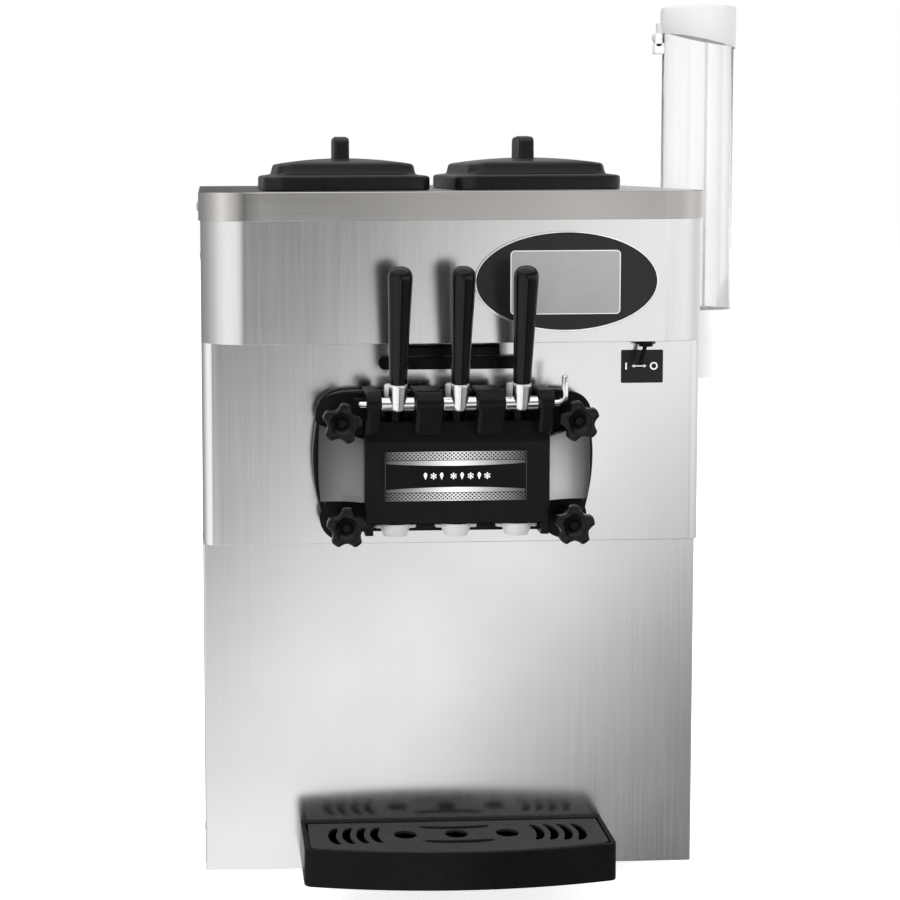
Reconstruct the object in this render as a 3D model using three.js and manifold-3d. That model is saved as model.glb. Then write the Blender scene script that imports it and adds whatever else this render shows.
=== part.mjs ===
// Countertop soft-serve machine: two hoppers, three draw handles, drip tray and side cone dispenser.
// Millimetres, +Z up, X to the machine's right as seen from the front, -Y towards the user.
import * as THREE from 'three';
import { mergeVertices } from 'three/addons/utils/BufferGeometryUtils.js';
import Module from 'manifold-3d';

const wasm = await Module();
wasm.setup();

// ---------------------------------------------------------------- driving dimensions
const GX = -42.7141, GY = -280.5794;      // shift that puts the middle of the machine on the origin
const W = 270;                       // half width of the cabinet
const T = 1.5;                       // sheet thickness
const Z0 = 24;                       // bottom edge of the cabinet
const ZM = 390;                      // joint between lower and middle front panels
const ZF = 610;                      // underside of the fascia overhang
const ZC = 740;                      // lower edge of the deck rim
const ZD = 770;                      // deck surface
const YF = 1.9, YM = 36, YL = 54;    // front planes of fascia, middle and lower panels
const YS = 78;                       // where the front panels' side returns end
const YB = 641.9;                    // outer face of the rear panel
const CAPW = 272, CAPB = 643.9, CAPR = 50;
const LIDX = 107, LIDY = 238, LIDW = 186, LIDL = 256;
const HOPW = 150, HOPL = 226, HOPZ = 645;
const HX = -2.5;                     // centre line of the dispensing head
const SH = 64.5;                     // spacing of the three draw handles
const RODY = -42, RODZ = 551, RODR = 3.15;
const PLY = -12, PLR = 10;           // plunger axis and radius
const ARM = 33.1;                    // fork arm length from rod to plunger
const TILT = 12;                     // forward lean of the handles, degrees
const FACEY = -28;                   // label face of the head
const PLATEY = -2, BACKY = 28;       // head plate front and back
const KNOBS = [['top_left', -123, 533], ['top_right', 123, 533], ['bottom_left', -118.5, 424], ['bottom_right', 118.5, 424]];
const KNOBY = -47, KNOBT = 15, KNOBR = 21, NECKR = 11;
const CYLX = 62, CYLZ = 480, CYLR = 50;
const TRAYW = 167, TRAYD = 92.1, TRAYBOW = 18.5, TRAYZ0 = 36.3, TRAYZ1 = 77;
const TRAYX = 1.5, HANGZ = 57;
const CX = 314.3, CY = 245, CR = 41.1; // cone tube axis and radius
const FOOTX = 215, FOOTY1 = 145, FOOTY2 = 575;

// ---------------------------------------------------------------- solid helpers
function solid(geo) {
  let g = geo.clone();
  for (const k of Object.keys(g.attributes)) if (k !== 'position') g.deleteAttribute(k);
  if (!g.index) g.setIndex([...Array(g.attributes.position.count).keys()]);
  g = mergeVertices(g, 1e-4);
  const p = g.attributes.position.array, idx = g.index.array, tri = [];
  let vol = 0;
  for (let i = 0; i < idx.length; i += 3) {
    const [a, b, c] = [idx[i], idx[i + 1], idx[i + 2]];
    if (a === b || b === c || a === c) continue;
    tri.push(a, b, c);
    const A = a * 3, B = b * 3, C = c * 3;
    vol += p[A] * (p[B + 1] * p[C + 2] - p[B + 2] * p[C + 1]) + p[A + 1] * (p[B + 2] * p[C] - p[B] * p[C + 2]) + p[A + 2] * (p[B] * p[C + 1] - p[B + 1] * p[C]);
  }
  if (vol < 0) for (let i = 0; i < tri.length; i += 3) [tri[i + 1], tri[i + 2]] = [tri[i + 2], tri[i + 1]];
  return new wasm.Manifold(new wasm.Mesh({ numProp: 3, vertProperties: new Float32Array(p), triVerts: new Uint32Array(tri) }));
}
const asSolid = (a) => (a.isBufferGeometry ? solid(a) : a);
const join = (...list) => list.map(asSolid).reduce((a, b) => a.add(b));
const cut = (a, ...list) => list.map(asSolid).reduce((m, b) => m.subtract(b), asSolid(a));
const both = (a, b) => asSolid(a).intersect(asSolid(b));
function geometry(m) {
  const q = asSolid(m).getMesh(), n = q.numProp, count = q.vertProperties.length / n;
  const pos = new Float32Array(count * 3);
  for (let i = 0; i < count; i++) for (let k = 0; k < 3; k++) pos[i * 3 + k] = q.vertProperties[i * n + k];
  const g = new THREE.BufferGeometry();
  g.setAttribute('position', new THREE.BufferAttribute(pos, 3));
  g.setIndex(new THREE.BufferAttribute(new Uint32Array(q.triVerts), 1));
  g.computeVertexNormals();
  return g;
}
const shapeOf = (pts, holes = []) => {
  const s = new THREE.Shape(pts.map(([x, y]) => new THREE.Vector2(x, y)));
  for (const h of holes) s.holes.push(new THREE.Path(h.map(([x, y]) => new THREE.Vector2(x, y))));
  return s;
};
const extrude = (s, depth) => new THREE.ExtrudeGeometry(s, { depth, bevelEnabled: false, curveSegments: 8, steps: 1 });
const upZ = (pts, z0, z1, holes) => extrude(shapeOf(pts, holes), z1 - z0).translate(0, 0, z0);
const backY = (pts, y0, y1, holes) => extrude(shapeOf(pts, holes), y1 - y0).rotateX(Math.PI / 2).translate(0, y1, 0);
const TOX = new THREE.Matrix4().makeBasis(new THREE.Vector3(0, 1, 0), new THREE.Vector3(0, 0, 1), new THREE.Vector3(1, 0, 0));
const alongX = (pts, x0, x1, holes) => extrude(shapeOf(pts, holes), x1 - x0).applyMatrix4(TOX).translate(x0, 0, 0);
const box = (x0, x1, y0, y1, z0, z1) => new THREE.BoxGeometry(x1 - x0, y1 - y0, z1 - z0).translate((x0 + x1) / 2, (y0 + y1) / 2, (z0 + z1) / 2);
const ring = (cx, cy, r, n, ry = r, turn = 0.5) => [...Array(n)].map((_, i) => {
  const a = ((i + turn) / n) * 2 * Math.PI;
  return [cx + r * Math.cos(a), cy + ry * Math.sin(a)];
});
const arc = (cx, cy, r, a0, a1, n) => [...Array(n + 1)].map((_, i) => {
  const a = ((a0 + ((a1 - a0) * i) / n) * Math.PI) / 180;
  return [cx + r * Math.cos(a), cy + r * Math.sin(a)];
});
const rrect = (x0, x1, y0, y1, r, n = 4, rb = r) => [
  ...arc(x0 + r, y0 + r, r, 180, 270, n), ...arc(x1 - r, y0 + r, r, 270, 360, n),
  ...arc(x1 - rb, y1 - rb, rb, 0, 90, n), ...arc(x0 + rb, y1 - rb, rb, 90, 180, n)];
const cylZ = (x, y, r, z0, z1, n = 20) => upZ(ring(x, y, r, n), z0, z1);
const cylY = (x, z, r, y0, y1, n = 20) => backY(ring(x, z, r, n), y0, y1);
const cylX = (y, z, r, x0, x1, n = 16) => alongX(ring(y, z, r, n), x0, x1);
const latheZ = (pts, n) => new THREE.LatheGeometry(pts.map(([r, z]) => new THREE.Vector2(r, z)), n).rotateX(Math.PI / 2);
// U-shaped front sheet with rounded vertical corners, seen from above
const uSheet = (hw, yf, yb, r, t, n) => {
  const out = [[-hw, yb], ...arc(-hw + r, yf + r, r, 180, 270, n), ...arc(hw - r, yf + r, r, 270, 360, n), [hw, yb]];
  const ri = Math.max(r - t, 0.01);
  const inn = [[hw - t, yb], ...arc(hw - t - ri, yf + t + ri, ri, 360, 270, n), ...arc(-hw + t + ri, yf + t + ri, ri, 270, 180, n), [-hw + t, yb]];
  return [...out, ...inn];
};
const dSheet = (hw, yf, yb, r, n) => [[-hw, yb], ...arc(-hw + r, yf + r, r, 180, 270, n), ...arc(hw - r, yf + r, r, 270, 360, n), [hw, yb]];

// ---------------------------------------------------------------- materials
const mat = (color, roughness, metalness, extra = {}) => new THREE.MeshStandardMaterial({ color, roughness, metalness, ...extra });
const steel = mat(0xd0d0ce, 0.34, 0.95);
const steelDark = mat(0xa2a2a0, 0.4, 0.9);
const galv = mat(0xb4b6b6, 0.5, 0.8);
const chrome = mat(0xe6e6e6, 0.12, 1);
const blackGloss = mat(0x121213, 0.22, 0);
const blackMatt = mat(0x1c1c1d, 0.55, 0);
const rubber = mat(0x161616, 0.85, 0);
const screenGrey = mat(0x9b9b9b, 0.3, 0);
const white = mat(0xf0f0ee, 0.4, 0);
const clear = mat(0xeef0f0, 0.05, 0, { transparent: true, opacity: 0.3 });
const frosted = mat(0xe8e8e8, 0.35, 0, { transparent: true, opacity: 0.8 });
const castGrey = mat(0x7c7f82, 0.6, 0.6);
const enamel = mat(0x1a1d20, 0.45, 0.2);

const machine = new THREE.Group();
machine.position.set(GX, GY, 0);
function part(name, shape, material, parent = machine, pos = [0, 0, 0], rot = [0, 0, 0]) {
  const m = new THREE.Mesh(geometry(shape), material);
  m.name = name;
  m.position.set(...pos);
  m.rotation.set(...rot);
  parent.add(m);
  return m;
}

// ---------------------------------------------------------------- cabinet
part('base_pan', box(-268, 268, YL + 2, YB - 2.2, Z0 + 2, Z0 + 4), galv);
const footShape = latheZ([[0, 0], [19, 0], [21.5, 3], [21.5, 9], [17, 14], [17, Z0 + 1.7], [0, Z0 + 1.7]], 16);
for (const [n, x, y] of [['front_left', -FOOTX, FOOTY1], ['front_right', FOOTX, FOOTY1], ['rear_left', -FOOTX, FOOTY2], ['rear_right', FOOTX, FOOTY2]]) {
  part('foot_' + n, footShape, rubber, machine, [x, y, 0]);
}
const slots = [];
for (const y of [200, 400]) for (let k = 0; k < 9; k++) slots.push([y, 110 + k * 22]);
const sideSheet = cut(box(-T / 2, T / 2, YS + 0.4, YB - T - 0.4, Z0, ZC + 5), ...slots.map(([y, z]) => box(-5, 5, y, y + 130, z, z + 7)));
part('side_panel_left', sideSheet, steel, machine, [-W + T / 2, 0, 0]);
part('side_panel_right', sideSheet, steel, machine, [W - T / 2, 0, 0]);
const rearSlots = [];
for (const x of [-200, 40]) for (let k = 0; k < 7; k++) rearSlots.push(box(x, x + 160, YB - 10, YB + 5, 170 + k * 26, 178 + k * 26));
part('rear_panel', cut(box(-W, W, YB - T, YB, Z0, ZC + 5), box(155, 205, YB - 10, YB + 5, 65, 95), ...rearSlots), steel);
part('power_inlet', cut(
  join(box(150, 210, YB + 0.3, YB + 2.3, 61, 99), box(155.5, 204.5, YB - 22, YB + 1, 65.5, 94.5)),
  cut(box(160, 200, YB - 16, YB + 5, 70, 90), box(178.5, 181.5, YB - 20, YB - 4, 82, 86), box(168.5, 171.5, YB - 20, YB - 4, 73, 77), box(188.5, 191.5, YB - 20, YB - 4, 73, 77))), blackMatt);
part('lower_front_panel', upZ(uSheet(W - 0.4, YL, YS, 1.6, T, 1), Z0, ZM), steel);
part('middle_front_panel', cut(
  join(upZ(uSheet(W - 0.2, YM, YS, 12, T, 4), ZM + 0.3, ZF - 0.3), upZ(dSheet(W - 0.9, YM + 0.7, YL + 8, 11.3, 4), ZM + 0.8, ZM + 0.8 + T)),
  box(HX - 118, HX + 118, YM - 5, YM + 8, 424, 536)), steel);
part('upper_fascia', cut(
  join(upZ(uSheet(W, YF, YS, 48, T, 8), ZF, ZC + 5), upZ(dSheet(W - 0.7, YF + 0.7, 54, 47.3, 8), ZF + 0.5, ZF + 0.5 + T)),
  cylZ(205, 16, 6.4, ZF - 5, ZF + 5, 16)), steel);
part('top_deck', cut(
  upZ(rrect(-CAPW, CAPW, 0, CAPB, CAPR, 8, 2.4), ZC, ZD),
  upZ(rrect(-CAPW + 1.6, CAPW - 1.6, 1.6, CAPB - 1.6, CAPR - 1.6, 8, 0.8), ZC - 5, ZD - 2),
  upZ(rrect(-LIDX - HOPW / 2 - 0.5, -LIDX + HOPW / 2 + 0.5, LIDY - HOPL / 2 - 0.5, LIDY + HOPL / 2 + 0.5, 25, 4), ZD - 6, ZD + 5),
  upZ(rrect(LIDX - HOPW / 2 - 0.5, LIDX + HOPW / 2 + 0.5, LIDY - HOPL / 2 - 0.5, LIDY + HOPL / 2 + 0.5, 25, 4), ZD - 6, ZD + 5)), steelDark);

// ---------------------------------------------------------------- hoppers and lids
const rr2 = (w, l, r, z0, z1, n = 3) => upZ(rrect(-w / 2, w / 2, -l / 2, l / 2, r, n), z0, z1);
const hopper = cut(
  join(rr2(HOPW, HOPL, 24.5, HOPZ, ZD + 1.5), rr2(HOPW + 16, HOPL + 16, 32, ZD + 0.3, ZD + 1.8)),
  rr2(HOPW - 3, HOPL - 3, 23, HOPZ + 1.5, ZD + 5), cylZ(0, -70, 7, HOPZ - 5, HOPZ + 5, 12));
// two-tier lid: the lower tier covers the hopper flange, the upper tier is crowned across its width
const crown = [[-76, 783], [76, 783], [76, 797], [60, 799.6], [40, 801.8], [20, 803.2], [0, 803.7], [-20, 803.2], [-40, 801.8], [-60, 799.6], [-76, 797]];
const lid = cut(
  join(rr2(LIDW, LIDL, 24, ZD + 0.3, 785), rr2(LIDW - 8, LIDL - 8, 21, 784, 788),
    both(backY(crown, -112, 112), rr2(152, 222, 20, 780, 810)),
    upZ(rrect(-8.5, 8.5, -30, 30, 7, 3), 800, 824), both(cylX(0, 798, 33, -8.5, 8.5, 20), box(-9, 9, -30, 30, 815, 832))),
  rr2(HOPW + 17, HOPL + 17, 32, ZD - 2, ZD + 2.2), rr2(HOPW - 6, HOPL - 6, 22, ZD - 1, 794));
for (const [n, s] of [['left', -1], ['right', 1]]) {
  part('hopper_' + n, hopper, steel, machine, [s * LIDX, LIDY, 0]);
  part('hopper_lid_' + n, lid, blackMatt, machine, [s * LIDX, LIDY, 0]);
}

// ---------------------------------------------------------------- control display and power switch
const DX = 116.2, DZ = 674.9;
part('display_bezel', cut(backY(ring(DX, DZ, 97.8, 40, 53), -1.2, YF - 0.3), backY(rrect(DX - 60.2, DX + 57.6, DZ - 35.2, DZ + 33.2, 4.4, 3), -3, 0.2)), blackGloss);
part('display_screen', backY(rrect(DX - 59.8, DX + 57.2, DZ - 34.8, DZ + 32.8, 4, 3), -1.0, -0.1), screenGrey);
part('switch_label_plate', backY(rrect(205.5 - 22.7, 205.5 + 22.7, 562.3, 598, 1.2, 2), YM - 1.3, YM - 0.3), blackMatt);
part('toggle_collar', cut(join(upZ(ring(0, 0, 10.5, 6), -5.6, -0.3), cylZ(0, 0, 6.1, -1, 5, 16)), cylZ(0, 0, 4.6, -8, 8, 16)), blackMatt, machine, [205, 16, ZF]);
const toggle = new THREE.Group();
toggle.position.set(205, 16, 607);
toggle.rotation.set(0, (14 * Math.PI) / 180, 0);
machine.add(toggle);
part('toggle_lever', latheZ([[0, -24], [1.8, -23.4], [3, -21.5], [3.2, -19], [2, -6], [2, 4], [0, 4]], 12), blackGloss, toggle);

// ---------------------------------------------------------------- draw switch above the head
part('draw_switch_bracket', cut(backY(rrect(HX - 79, HX + 79, 580, 593.6, 5, 3), 24, YM - 0.3),
  cylY(HX - 43, 587, 2.2, 10, YM + 5, 10), cylY(HX + 43, 587, 2.2, 10, YM + 5, 10)), blackMatt);
part('draw_switch_paddle', alongX([[-3, -8.4], [5, -8.4], [5, 3.2], [0, 3.2], [-3, 0]], -53.6, 53.6), blackMatt, machine, [HX, 29, 603]);

// ---------------------------------------------------------------- dispensing head
const head = new THREE.Group();
head.position.set(HX, 0, 0);
machine.add(head);
const half = [[112, 559], [127, 556], [138, 548], [144, 536], [149, 508], [150, 490], [148, 465], [143, 435], [138.5, 420], [130, 411.5], [114, 408.5]];
const plateOutline = [...half, ...half.slice().reverse().map(([x, z]) => [-x, z])];
const gaps = [-SH, 0, SH];
const LUGS = [[-97.5, -82.7], [-46.3, -18.3], [18.3, 46.3], [82.7, 97.5]];
const lugProfile = [[4, 565], [RODY, 565], ...arc(RODY, RODZ, 13, 105, 235, 6), [-34, 526], [-24, 519], [4, 519]];
const bodyProfile = [[4, 422], [FACEY, 422], [FACEY, 510], [-24.4, 531], [4, 531]];
let door = join(backY(plateOutline, PLATEY, BACKY), alongX(bodyProfile, -97.5, 97.5), ...LUGS.map(([a, b]) => alongX(lugProfile, a, b)),
  box(-97, -88.2, FACEY + 2, 2, 409, 424), box(88.2, 97, FACEY + 2, 2, 409, 424),
  ...gaps.map((x) => cylZ(x, PLY, 12.4, 414, 424, 20)));
door = cut(door, ...gaps.map((x) => cut(cylZ(x, PLY, 23.4, 395, 421.9, 24), cylZ(x, PLY, 12.4, 414, 429, 20))),
  ...gaps.map((x) => cylZ(x, PLY, PLR + 0.2, 400, 570, 20)),
  ...gaps.map((x) => box(x - 18.2, x + 18.2, -30, 2.4, 531, 570)),
  cylX(RODY, RODZ, RODR + 0.35, -110, 110, 12),
  ...KNOBS.map(([, x, z]) => cylY(x, z, 25, -20, 6, 14)), ...KNOBS.map(([, x, z]) => cylY(x, z, 4.6, -20, 40, 10)),
  cylY(-SH, 455, 6, PLY, 40, 10), cylY(SH, 455, 6, PLY, 40, 10), box(-SH, SH, -6, 8, 450, 460));
part('head_door', door, blackGloss, head);
part('head_mount_flange', join(
  cut(backY(rrect(-139, 139, 408, 552, 20, 3), BACKY + 0.3, YM - 0.3), cylY(-CYLX, CYLZ, 45, 0, 60, 20), cylY(CYLX, CYLZ, 45, 0, 60, 20)),
  ...KNOBS.map(([, x, z]) => cylY(x, z, 4, -55.5, BACKY + 2, 10))), steel, head);
part('badge_plate', backY(rrect(-77.1, 73.1, 446.8, 499.6, 1.5, 2), FACEY - 1.3, FACEY - 0.3), blackGloss, head);

// star knobs: five flat-tipped lobes on a round neck with a blind bore for the stud
const star = (phase) => [...Array(5)].flatMap((_, k) => [[19.8, -15], [21, -9.5], [21, 9.5], [19.8, 15], [16.6, 24], [15.4, 36], [16.6, 48]].map(([r, a]) => {
  const t = ((a + phase + 72 * k) * Math.PI) / 180;
  return [r * Math.cos(t), r * Math.sin(t)];
}));
const PHASES = { top_left: 4, top_right: 29, bottom_left: 17, bottom_right: 17 };
for (const [n, x, z] of KNOBS) {
  part('star_knob_' + n, cut(join(backY(star(PHASES[n]), -KNOBT, 0), cylY(0, 0, NECKR, -2, 52.7, 16)), cylY(0, 0, 4.6, -9, 60, 10)), blackGloss, head, [x, KNOBY, z]);
}

// pivot rod with an upturned pull end
class Route extends THREE.Curve {
  constructor(points) { super(); this.p = points.map((a) => new THREE.Vector3(...a)); }
  getPoint(t, out = new THREE.Vector3()) {
    const f = t * (this.p.length - 1), i = Math.min(Math.floor(f + 1e-9), this.p.length - 2);
    return out.copy(this.p[i]).lerp(this.p[i + 1], f - i);
  }
  getPointAt(u, out) { return this.getPoint(u, out); }
  getTangentAt(u, out = new THREE.Vector3()) {
    const n = this.p.length - 1, i = Math.round(u * n);
    const a = this.p[Math.max(i - 1, 0)], b = this.p[Math.min(i + 1, n)];
    return out.copy(b).sub(a).normalize();
  }
  getTangent(t, out) { return this.getTangentAt(t, out); }
}
const bend = arc(102, 8, 8, -90, 0, 4).map(([x, z]) => [x, 0, z]);
const rodRoute = new Route([[-105, 0, 0], ...bend, [110, 0, 29]]);
const rodShape = shapeOf(ring(0, 0, RODR, 10));
part('pivot_rod', new THREE.ExtrudeGeometry(rodShape, { steps: rodRoute.p.length - 1, extrudePath: rodRoute, bevelEnabled: false }), chrome, head, [0, RODY, RODZ]);

// draw handles: chrome barrel, ferrule and fork; black grip on its stud
const c25 = Math.cos((25 * Math.PI) / 180), s25 = Math.sin((25 * Math.PI) / 180);
const armLine = (w) => { const ux = c25, uz = -s25; return [[-uz * w, ux * w], [ux * (ARM - 1) - uz * w, uz * (ARM - 1) + ux * w], [ux * (ARM + 2.4), uz * (ARM + 2.4)], [ux * (ARM - 1) + uz * w, uz * (ARM - 1) - ux * w], [uz * w, -ux * w]]; };
const fork = join(alongX(armLine(3), -9.2, -4.6), alongX(armLine(3), 4.6, 9.2));
const lean = (TILT * Math.PI) / 180;
const ferrule = join(latheZ([[0, 3], [8.1, 3], [8.3, 9], [9.4, 22.9], [0, 22.9]], 16), cylZ(0, 0, 4, 20, 50, 10)).rotate([TILT, 0, 0]);
const shaft = cut(join(cylX(0, 0, 7.6, -17.7, 17.7, 16), fork, ferrule), cylX(0, 0, RODR + 0.2, -20, 20, 12));
const grip = cut(latheZ([[0, 23.2], [8.8, 23.2], [9.4, 25], [10.4, 60], [12, 110], [12.8, 134], [12.2, 140], [9.2, 145], [0, 147.4]], 14), cylZ(0, 0, 4.4, 20, 52, 10));
const plunger = cut(cylZ(0, 0, PLR, -24.5, 131.5, 20),
  box(-20, -4.2, -20, 20, 91.3, 108.8), box(4.2, 20, -20, 20, 91.3, 108.8), cylZ(0, 0, 3, 124, 140, 8));
const cap = cut(join(cylZ(0, 0, 14, 408, 421.4, 16), upZ(rrect(-22.3, 22.3, -5, 5, 4.6, 2), 415, 419)),
  cylZ(0, 0, 13, 412, 424, 16), upZ([...Array(12)].map((_, i) => [(i % 2 ? 3.4 : 6.4) * Math.cos((i * Math.PI) / 6), (i % 2 ? 3.4 : 6.4) * Math.sin((i * Math.PI) / 6)]), 404, 416));
for (const [n, x] of [['left', -SH], ['centre', 0], ['right', SH]]) {
  const h = new THREE.Group();
  h.position.set(x, RODY, RODZ);
  head.add(h);
  part('handle_shaft_' + n, shaft, chrome, h);
  part('handle_grip_' + n, grip, blackGloss, h, [0, 0, 0], [lean, 0, 0]);
  part('plunger_' + n, plunger, white, head, [x, PLY, 437.5]);
  part('nozzle_cap_' + n, cap, white, head, [x, PLY, 0]);
}

// ---------------------------------------------------------------- freezing cylinders and beaters
const barrel = (x) => cut(cylY(x, CYLZ, CYLR, YM, 340, 24), cylY(x, CYLZ, 45, YM - 5, 336, 24), cylY(x, CYLZ, 9, 300, 350, 12));
// one helical scraper blade on a drive shaft
function helix(r0, r1, y0, y1, turns, n, t) {
  const v = [], f = [];
  for (let i = 0; i <= n; i++) {
    const a = (2 * Math.PI * turns * i) / n, y = y0 + ((y1 - y0) * i) / n, c = Math.cos(a), s = Math.sin(a);
    for (const [r, d] of [[r0, -t], [r1, -t], [r1, t], [r0, t]]) v.push(r * c, y + d, r * s);
  }
  for (let i = 0; i < n; i++) for (let k = 0; k < 4; k++) {
    const a = i * 4 + k, b = i * 4 + ((k + 1) % 4);
    f.push(a, b, b + 4, a, b + 4, a + 4);
  }
  f.push(0, 2, 1, 0, 3, 2);
  const e = n * 4;
  f.push(e, e + 1, e + 2, e, e + 2, e + 3);
  const g = new THREE.BufferGeometry();
  g.setAttribute('position', new THREE.BufferAttribute(new Float32Array(v), 3));
  g.setIndex(f);
  return g;
}
const beater = join(helix(4, 43, 52, 322, 1.5, 20, 2), cylY(0, 0, 8, 44, 356, 10));
for (const [n, x] of [['left', -CYLX], ['right', CYLX]]) {
  part('freezing_cylinder_' + n, barrel(x), steel, head);
  part('beater_' + n, beater, white, head, [x, 0, CYLZ]);
}
part('drive_gearbox', cut(box(-112, 112, 341, 400, 430, 530), cylY(-CYLX, CYLZ, 9, 330, 362, 12), cylY(CYLX, CYLZ, 9, 330, 362, 12)), castGrey, head);
part('drive_motor', join(cylY(0, CYLZ, 62, 401, 540, 20), cylY(0, CYLZ, 30, 530, 552, 16)), enamel, head);
part('compressor', latheZ([[0, 0], [60, 0], [78, 12], [84, 40], [84, 130], [76, 165], [50, 190], [0, 196]], 20), enamel, machine, [-135, 240, 32]);
part('condenser', cut(box(-30, 240, 570, 610, 50, 330), ...[...Array(5)].map((_, k) => box(-20 + k * 52, 22 + k * 52, 560, 578, 60, 320))), steelDark);
part('fan_rotor', join(cylY(0, 0, 24, -14, 16, 14), ...[...Array(5)].map((_, k) => new THREE.BoxGeometry(24, 2.4, 96).rotateZ(0.5).translate(0, 0, 66).rotateY((k * 2 * Math.PI) / 5))), blackMatt, machine, [105, 530, 190]);

// ---------------------------------------------------------------- drip tray
const trayOutline = (inset, n = 8) => {
  const w = TRAYW - inset, d = TRAYD - inset, pts = [];
  for (let i = 0; i <= n; i++) {
    const u = -1 + (2 * i) / n;
    pts.push([u * (w - 9), -d - TRAYBOW * (1 - u * u) + (Math.abs(u) === 1 ? 0 : 0)]);
  }
  return [[-w, -inset], [-w, -d + 9], [-w + 3, -d + 3], ...pts, [w - 3, -d + 3], [w, -d + 9], [w, -inset]];
};
const TY = YL - 0.3;
part('tray_hanger', join(box(-90, 90, TY - 2, TY, HANGZ - 9, HANGZ + 9), cylY(-70, HANGZ, 4, TY - 14, TY - 1, 10), cylY(70, HANGZ, 4, TY - 14, TY - 1, 10)), steel, machine, [TRAYX, 0, 0]);
part('drip_tray', cut(upZ(trayOutline(0), TRAYZ0, TRAYZ1), upZ(trayOutline(10), TRAYZ0 + 4, TRAYZ1 - 4), upZ(trayOutline(6), TRAYZ1 - 4.4, TRAYZ1 + 5),
  box(-90.6, 90.6, -2.6, 5, HANGZ - 9.6, HANGZ + 9.6), cylY(-70, HANGZ, 4.5, -20, 5, 10), cylY(70, HANGZ, 4.5, -20, 5, 10)), blackGloss, machine, [TRAYX, TY, 0]);
// grate: eight curved slots, two bowed slots and three round holes
const bowed = (cx, cy, len, wd, bow, n = 5) => {
  const top = [], bot = [];
  for (let i = 0; i <= n; i++) {
    const u = -1 + (2 * i) / n, x = cx + (u * len) / 2, y = cy + bow * (1 - u * u), h = (wd / 2) * Math.sqrt(Math.max(0, 1 - u ** 6)) + (Math.abs(u) === 1 ? 0.6 : 0);
    top.push([x, y + h]); bot.push([x, y - h]);
  }
  return [...bot, ...top.reverse()];
};
const swap = (pts) => pts.map(([x, y]) => [y, x]);
const grateHoles = [];
for (let k = 0; k < 4; k++) {
  grateHoles.push(swap(bowed(-41 - (k === 0 ? 3 : 0) - (k === 3 ? 3 : 0) * 0, -134 + k * 18, 42 - k * 4, 6.5, -5, 4)));
  grateHoles.push(swap(bowed(-41 - (k === 0 ? 3 : 0), 134 - k * 18, 42 - k * 4, 6.5, 5, 4)));
}
grateHoles.push(bowed(0, -14, 78, 6, 4), bowed(0, -72, 86, 6, -4));
for (const x of [-56, 0, 56]) grateHoles.push(ring(x, -43, 12.2, 14, 11));
part('drip_grate', cut(upZ(trayOutline(6.5), TRAYZ1 - 4.1, TRAYZ1 - 0.6), ...grateHoles.map((h) => upZ(h, TRAYZ1 - 10, TRAYZ1 + 5))), blackGloss, machine, [TRAYX, TY, 0]);

// ---------------------------------------------------------------- cone dispenser
const cone = new THREE.Group();
cone.position.set(CX, CY, 0);
machine.add(cone);
part('cone_base', cut(join(cylZ(0, 0, 43.5, 548, 627.6, 24), box(W + 0.3 - CX, -30, -18, 18, 560, 616)), cylZ(0, 0, 36.5, 530, 640, 24)), white, cone);
part('cone_tube', cut(cylZ(0, 0, CR, 627.9, 955, 24), cylZ(0, 0, CR - 2, 620, 970, 24)), clear, cone);
const slant = backY([[-60, 900], [60, 900], [60, 927.6], [-60, 953]], -60, 60);
const lidLug = join(cylY(266 - CX, 945, 5.4, -6, 6, 14), box(264 - CX, 272 - CX, -6, 6, 946, 961));
part('cone_lid', cut(join(cut(cylZ(0, 0, 43.4, 915, 980, 24), slant), lidLug), cylZ(0, 0, 41.8, 900, 977.5, 24), cylY(266 - CX, 945, 2.3, -20, 20, 10)), frosted, cone);
part('cone_lid_hinge', join(box(261 - CX, 272.7 - CX, -10, 10, 925, 938), box(261 - CX, 270.4 - CX, -10, -6.6, 935, 950), box(261 - CX, 270.4 - CX, 6.6, 10, 935, 950), cylY(266 - CX, 945, 2, -9, 9, 10)), blackMatt, cone);

export default machine;
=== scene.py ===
import bpy, bmesh, math
from math import pi, sin, cos, radians, sqrt
from mathutils import Vector, Matrix
from mathutils.geometry import tessellate_polygon


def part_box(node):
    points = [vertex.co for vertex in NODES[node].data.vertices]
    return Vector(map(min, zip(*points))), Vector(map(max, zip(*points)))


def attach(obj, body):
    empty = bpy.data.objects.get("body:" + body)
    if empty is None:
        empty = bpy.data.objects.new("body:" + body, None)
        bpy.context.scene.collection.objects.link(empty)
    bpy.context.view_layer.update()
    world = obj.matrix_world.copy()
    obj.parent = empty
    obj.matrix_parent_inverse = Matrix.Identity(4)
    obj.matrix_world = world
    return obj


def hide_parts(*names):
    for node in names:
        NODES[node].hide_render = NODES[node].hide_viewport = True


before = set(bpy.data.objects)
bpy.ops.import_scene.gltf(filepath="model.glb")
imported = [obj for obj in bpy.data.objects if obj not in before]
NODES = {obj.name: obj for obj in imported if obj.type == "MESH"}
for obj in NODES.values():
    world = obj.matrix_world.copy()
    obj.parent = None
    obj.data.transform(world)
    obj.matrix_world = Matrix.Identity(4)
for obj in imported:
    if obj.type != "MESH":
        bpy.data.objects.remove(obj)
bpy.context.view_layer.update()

# working frame in mm: X right, Y back from the deck's front edge, Z up from the floor
_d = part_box("top_deck")[0]
OX, OY = _d.x + 0.272, _d.y
HX = -2.5
SH = 64.5


def W3(x, y, z):
    return Vector((x / 1000 + OX, y / 1000 + OY, z / 1000))


# ------------------------------------------------------------------ materials
MATS = {}


def nodes_of(name):
    m = bpy.data.materials.new(name)
    m.use_nodes = True
    nt = m.node_tree
    bsdf = next(n for n in nt.nodes if n.type == "BSDF_PRINCIPLED")
    return m, nt, bsdf


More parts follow.
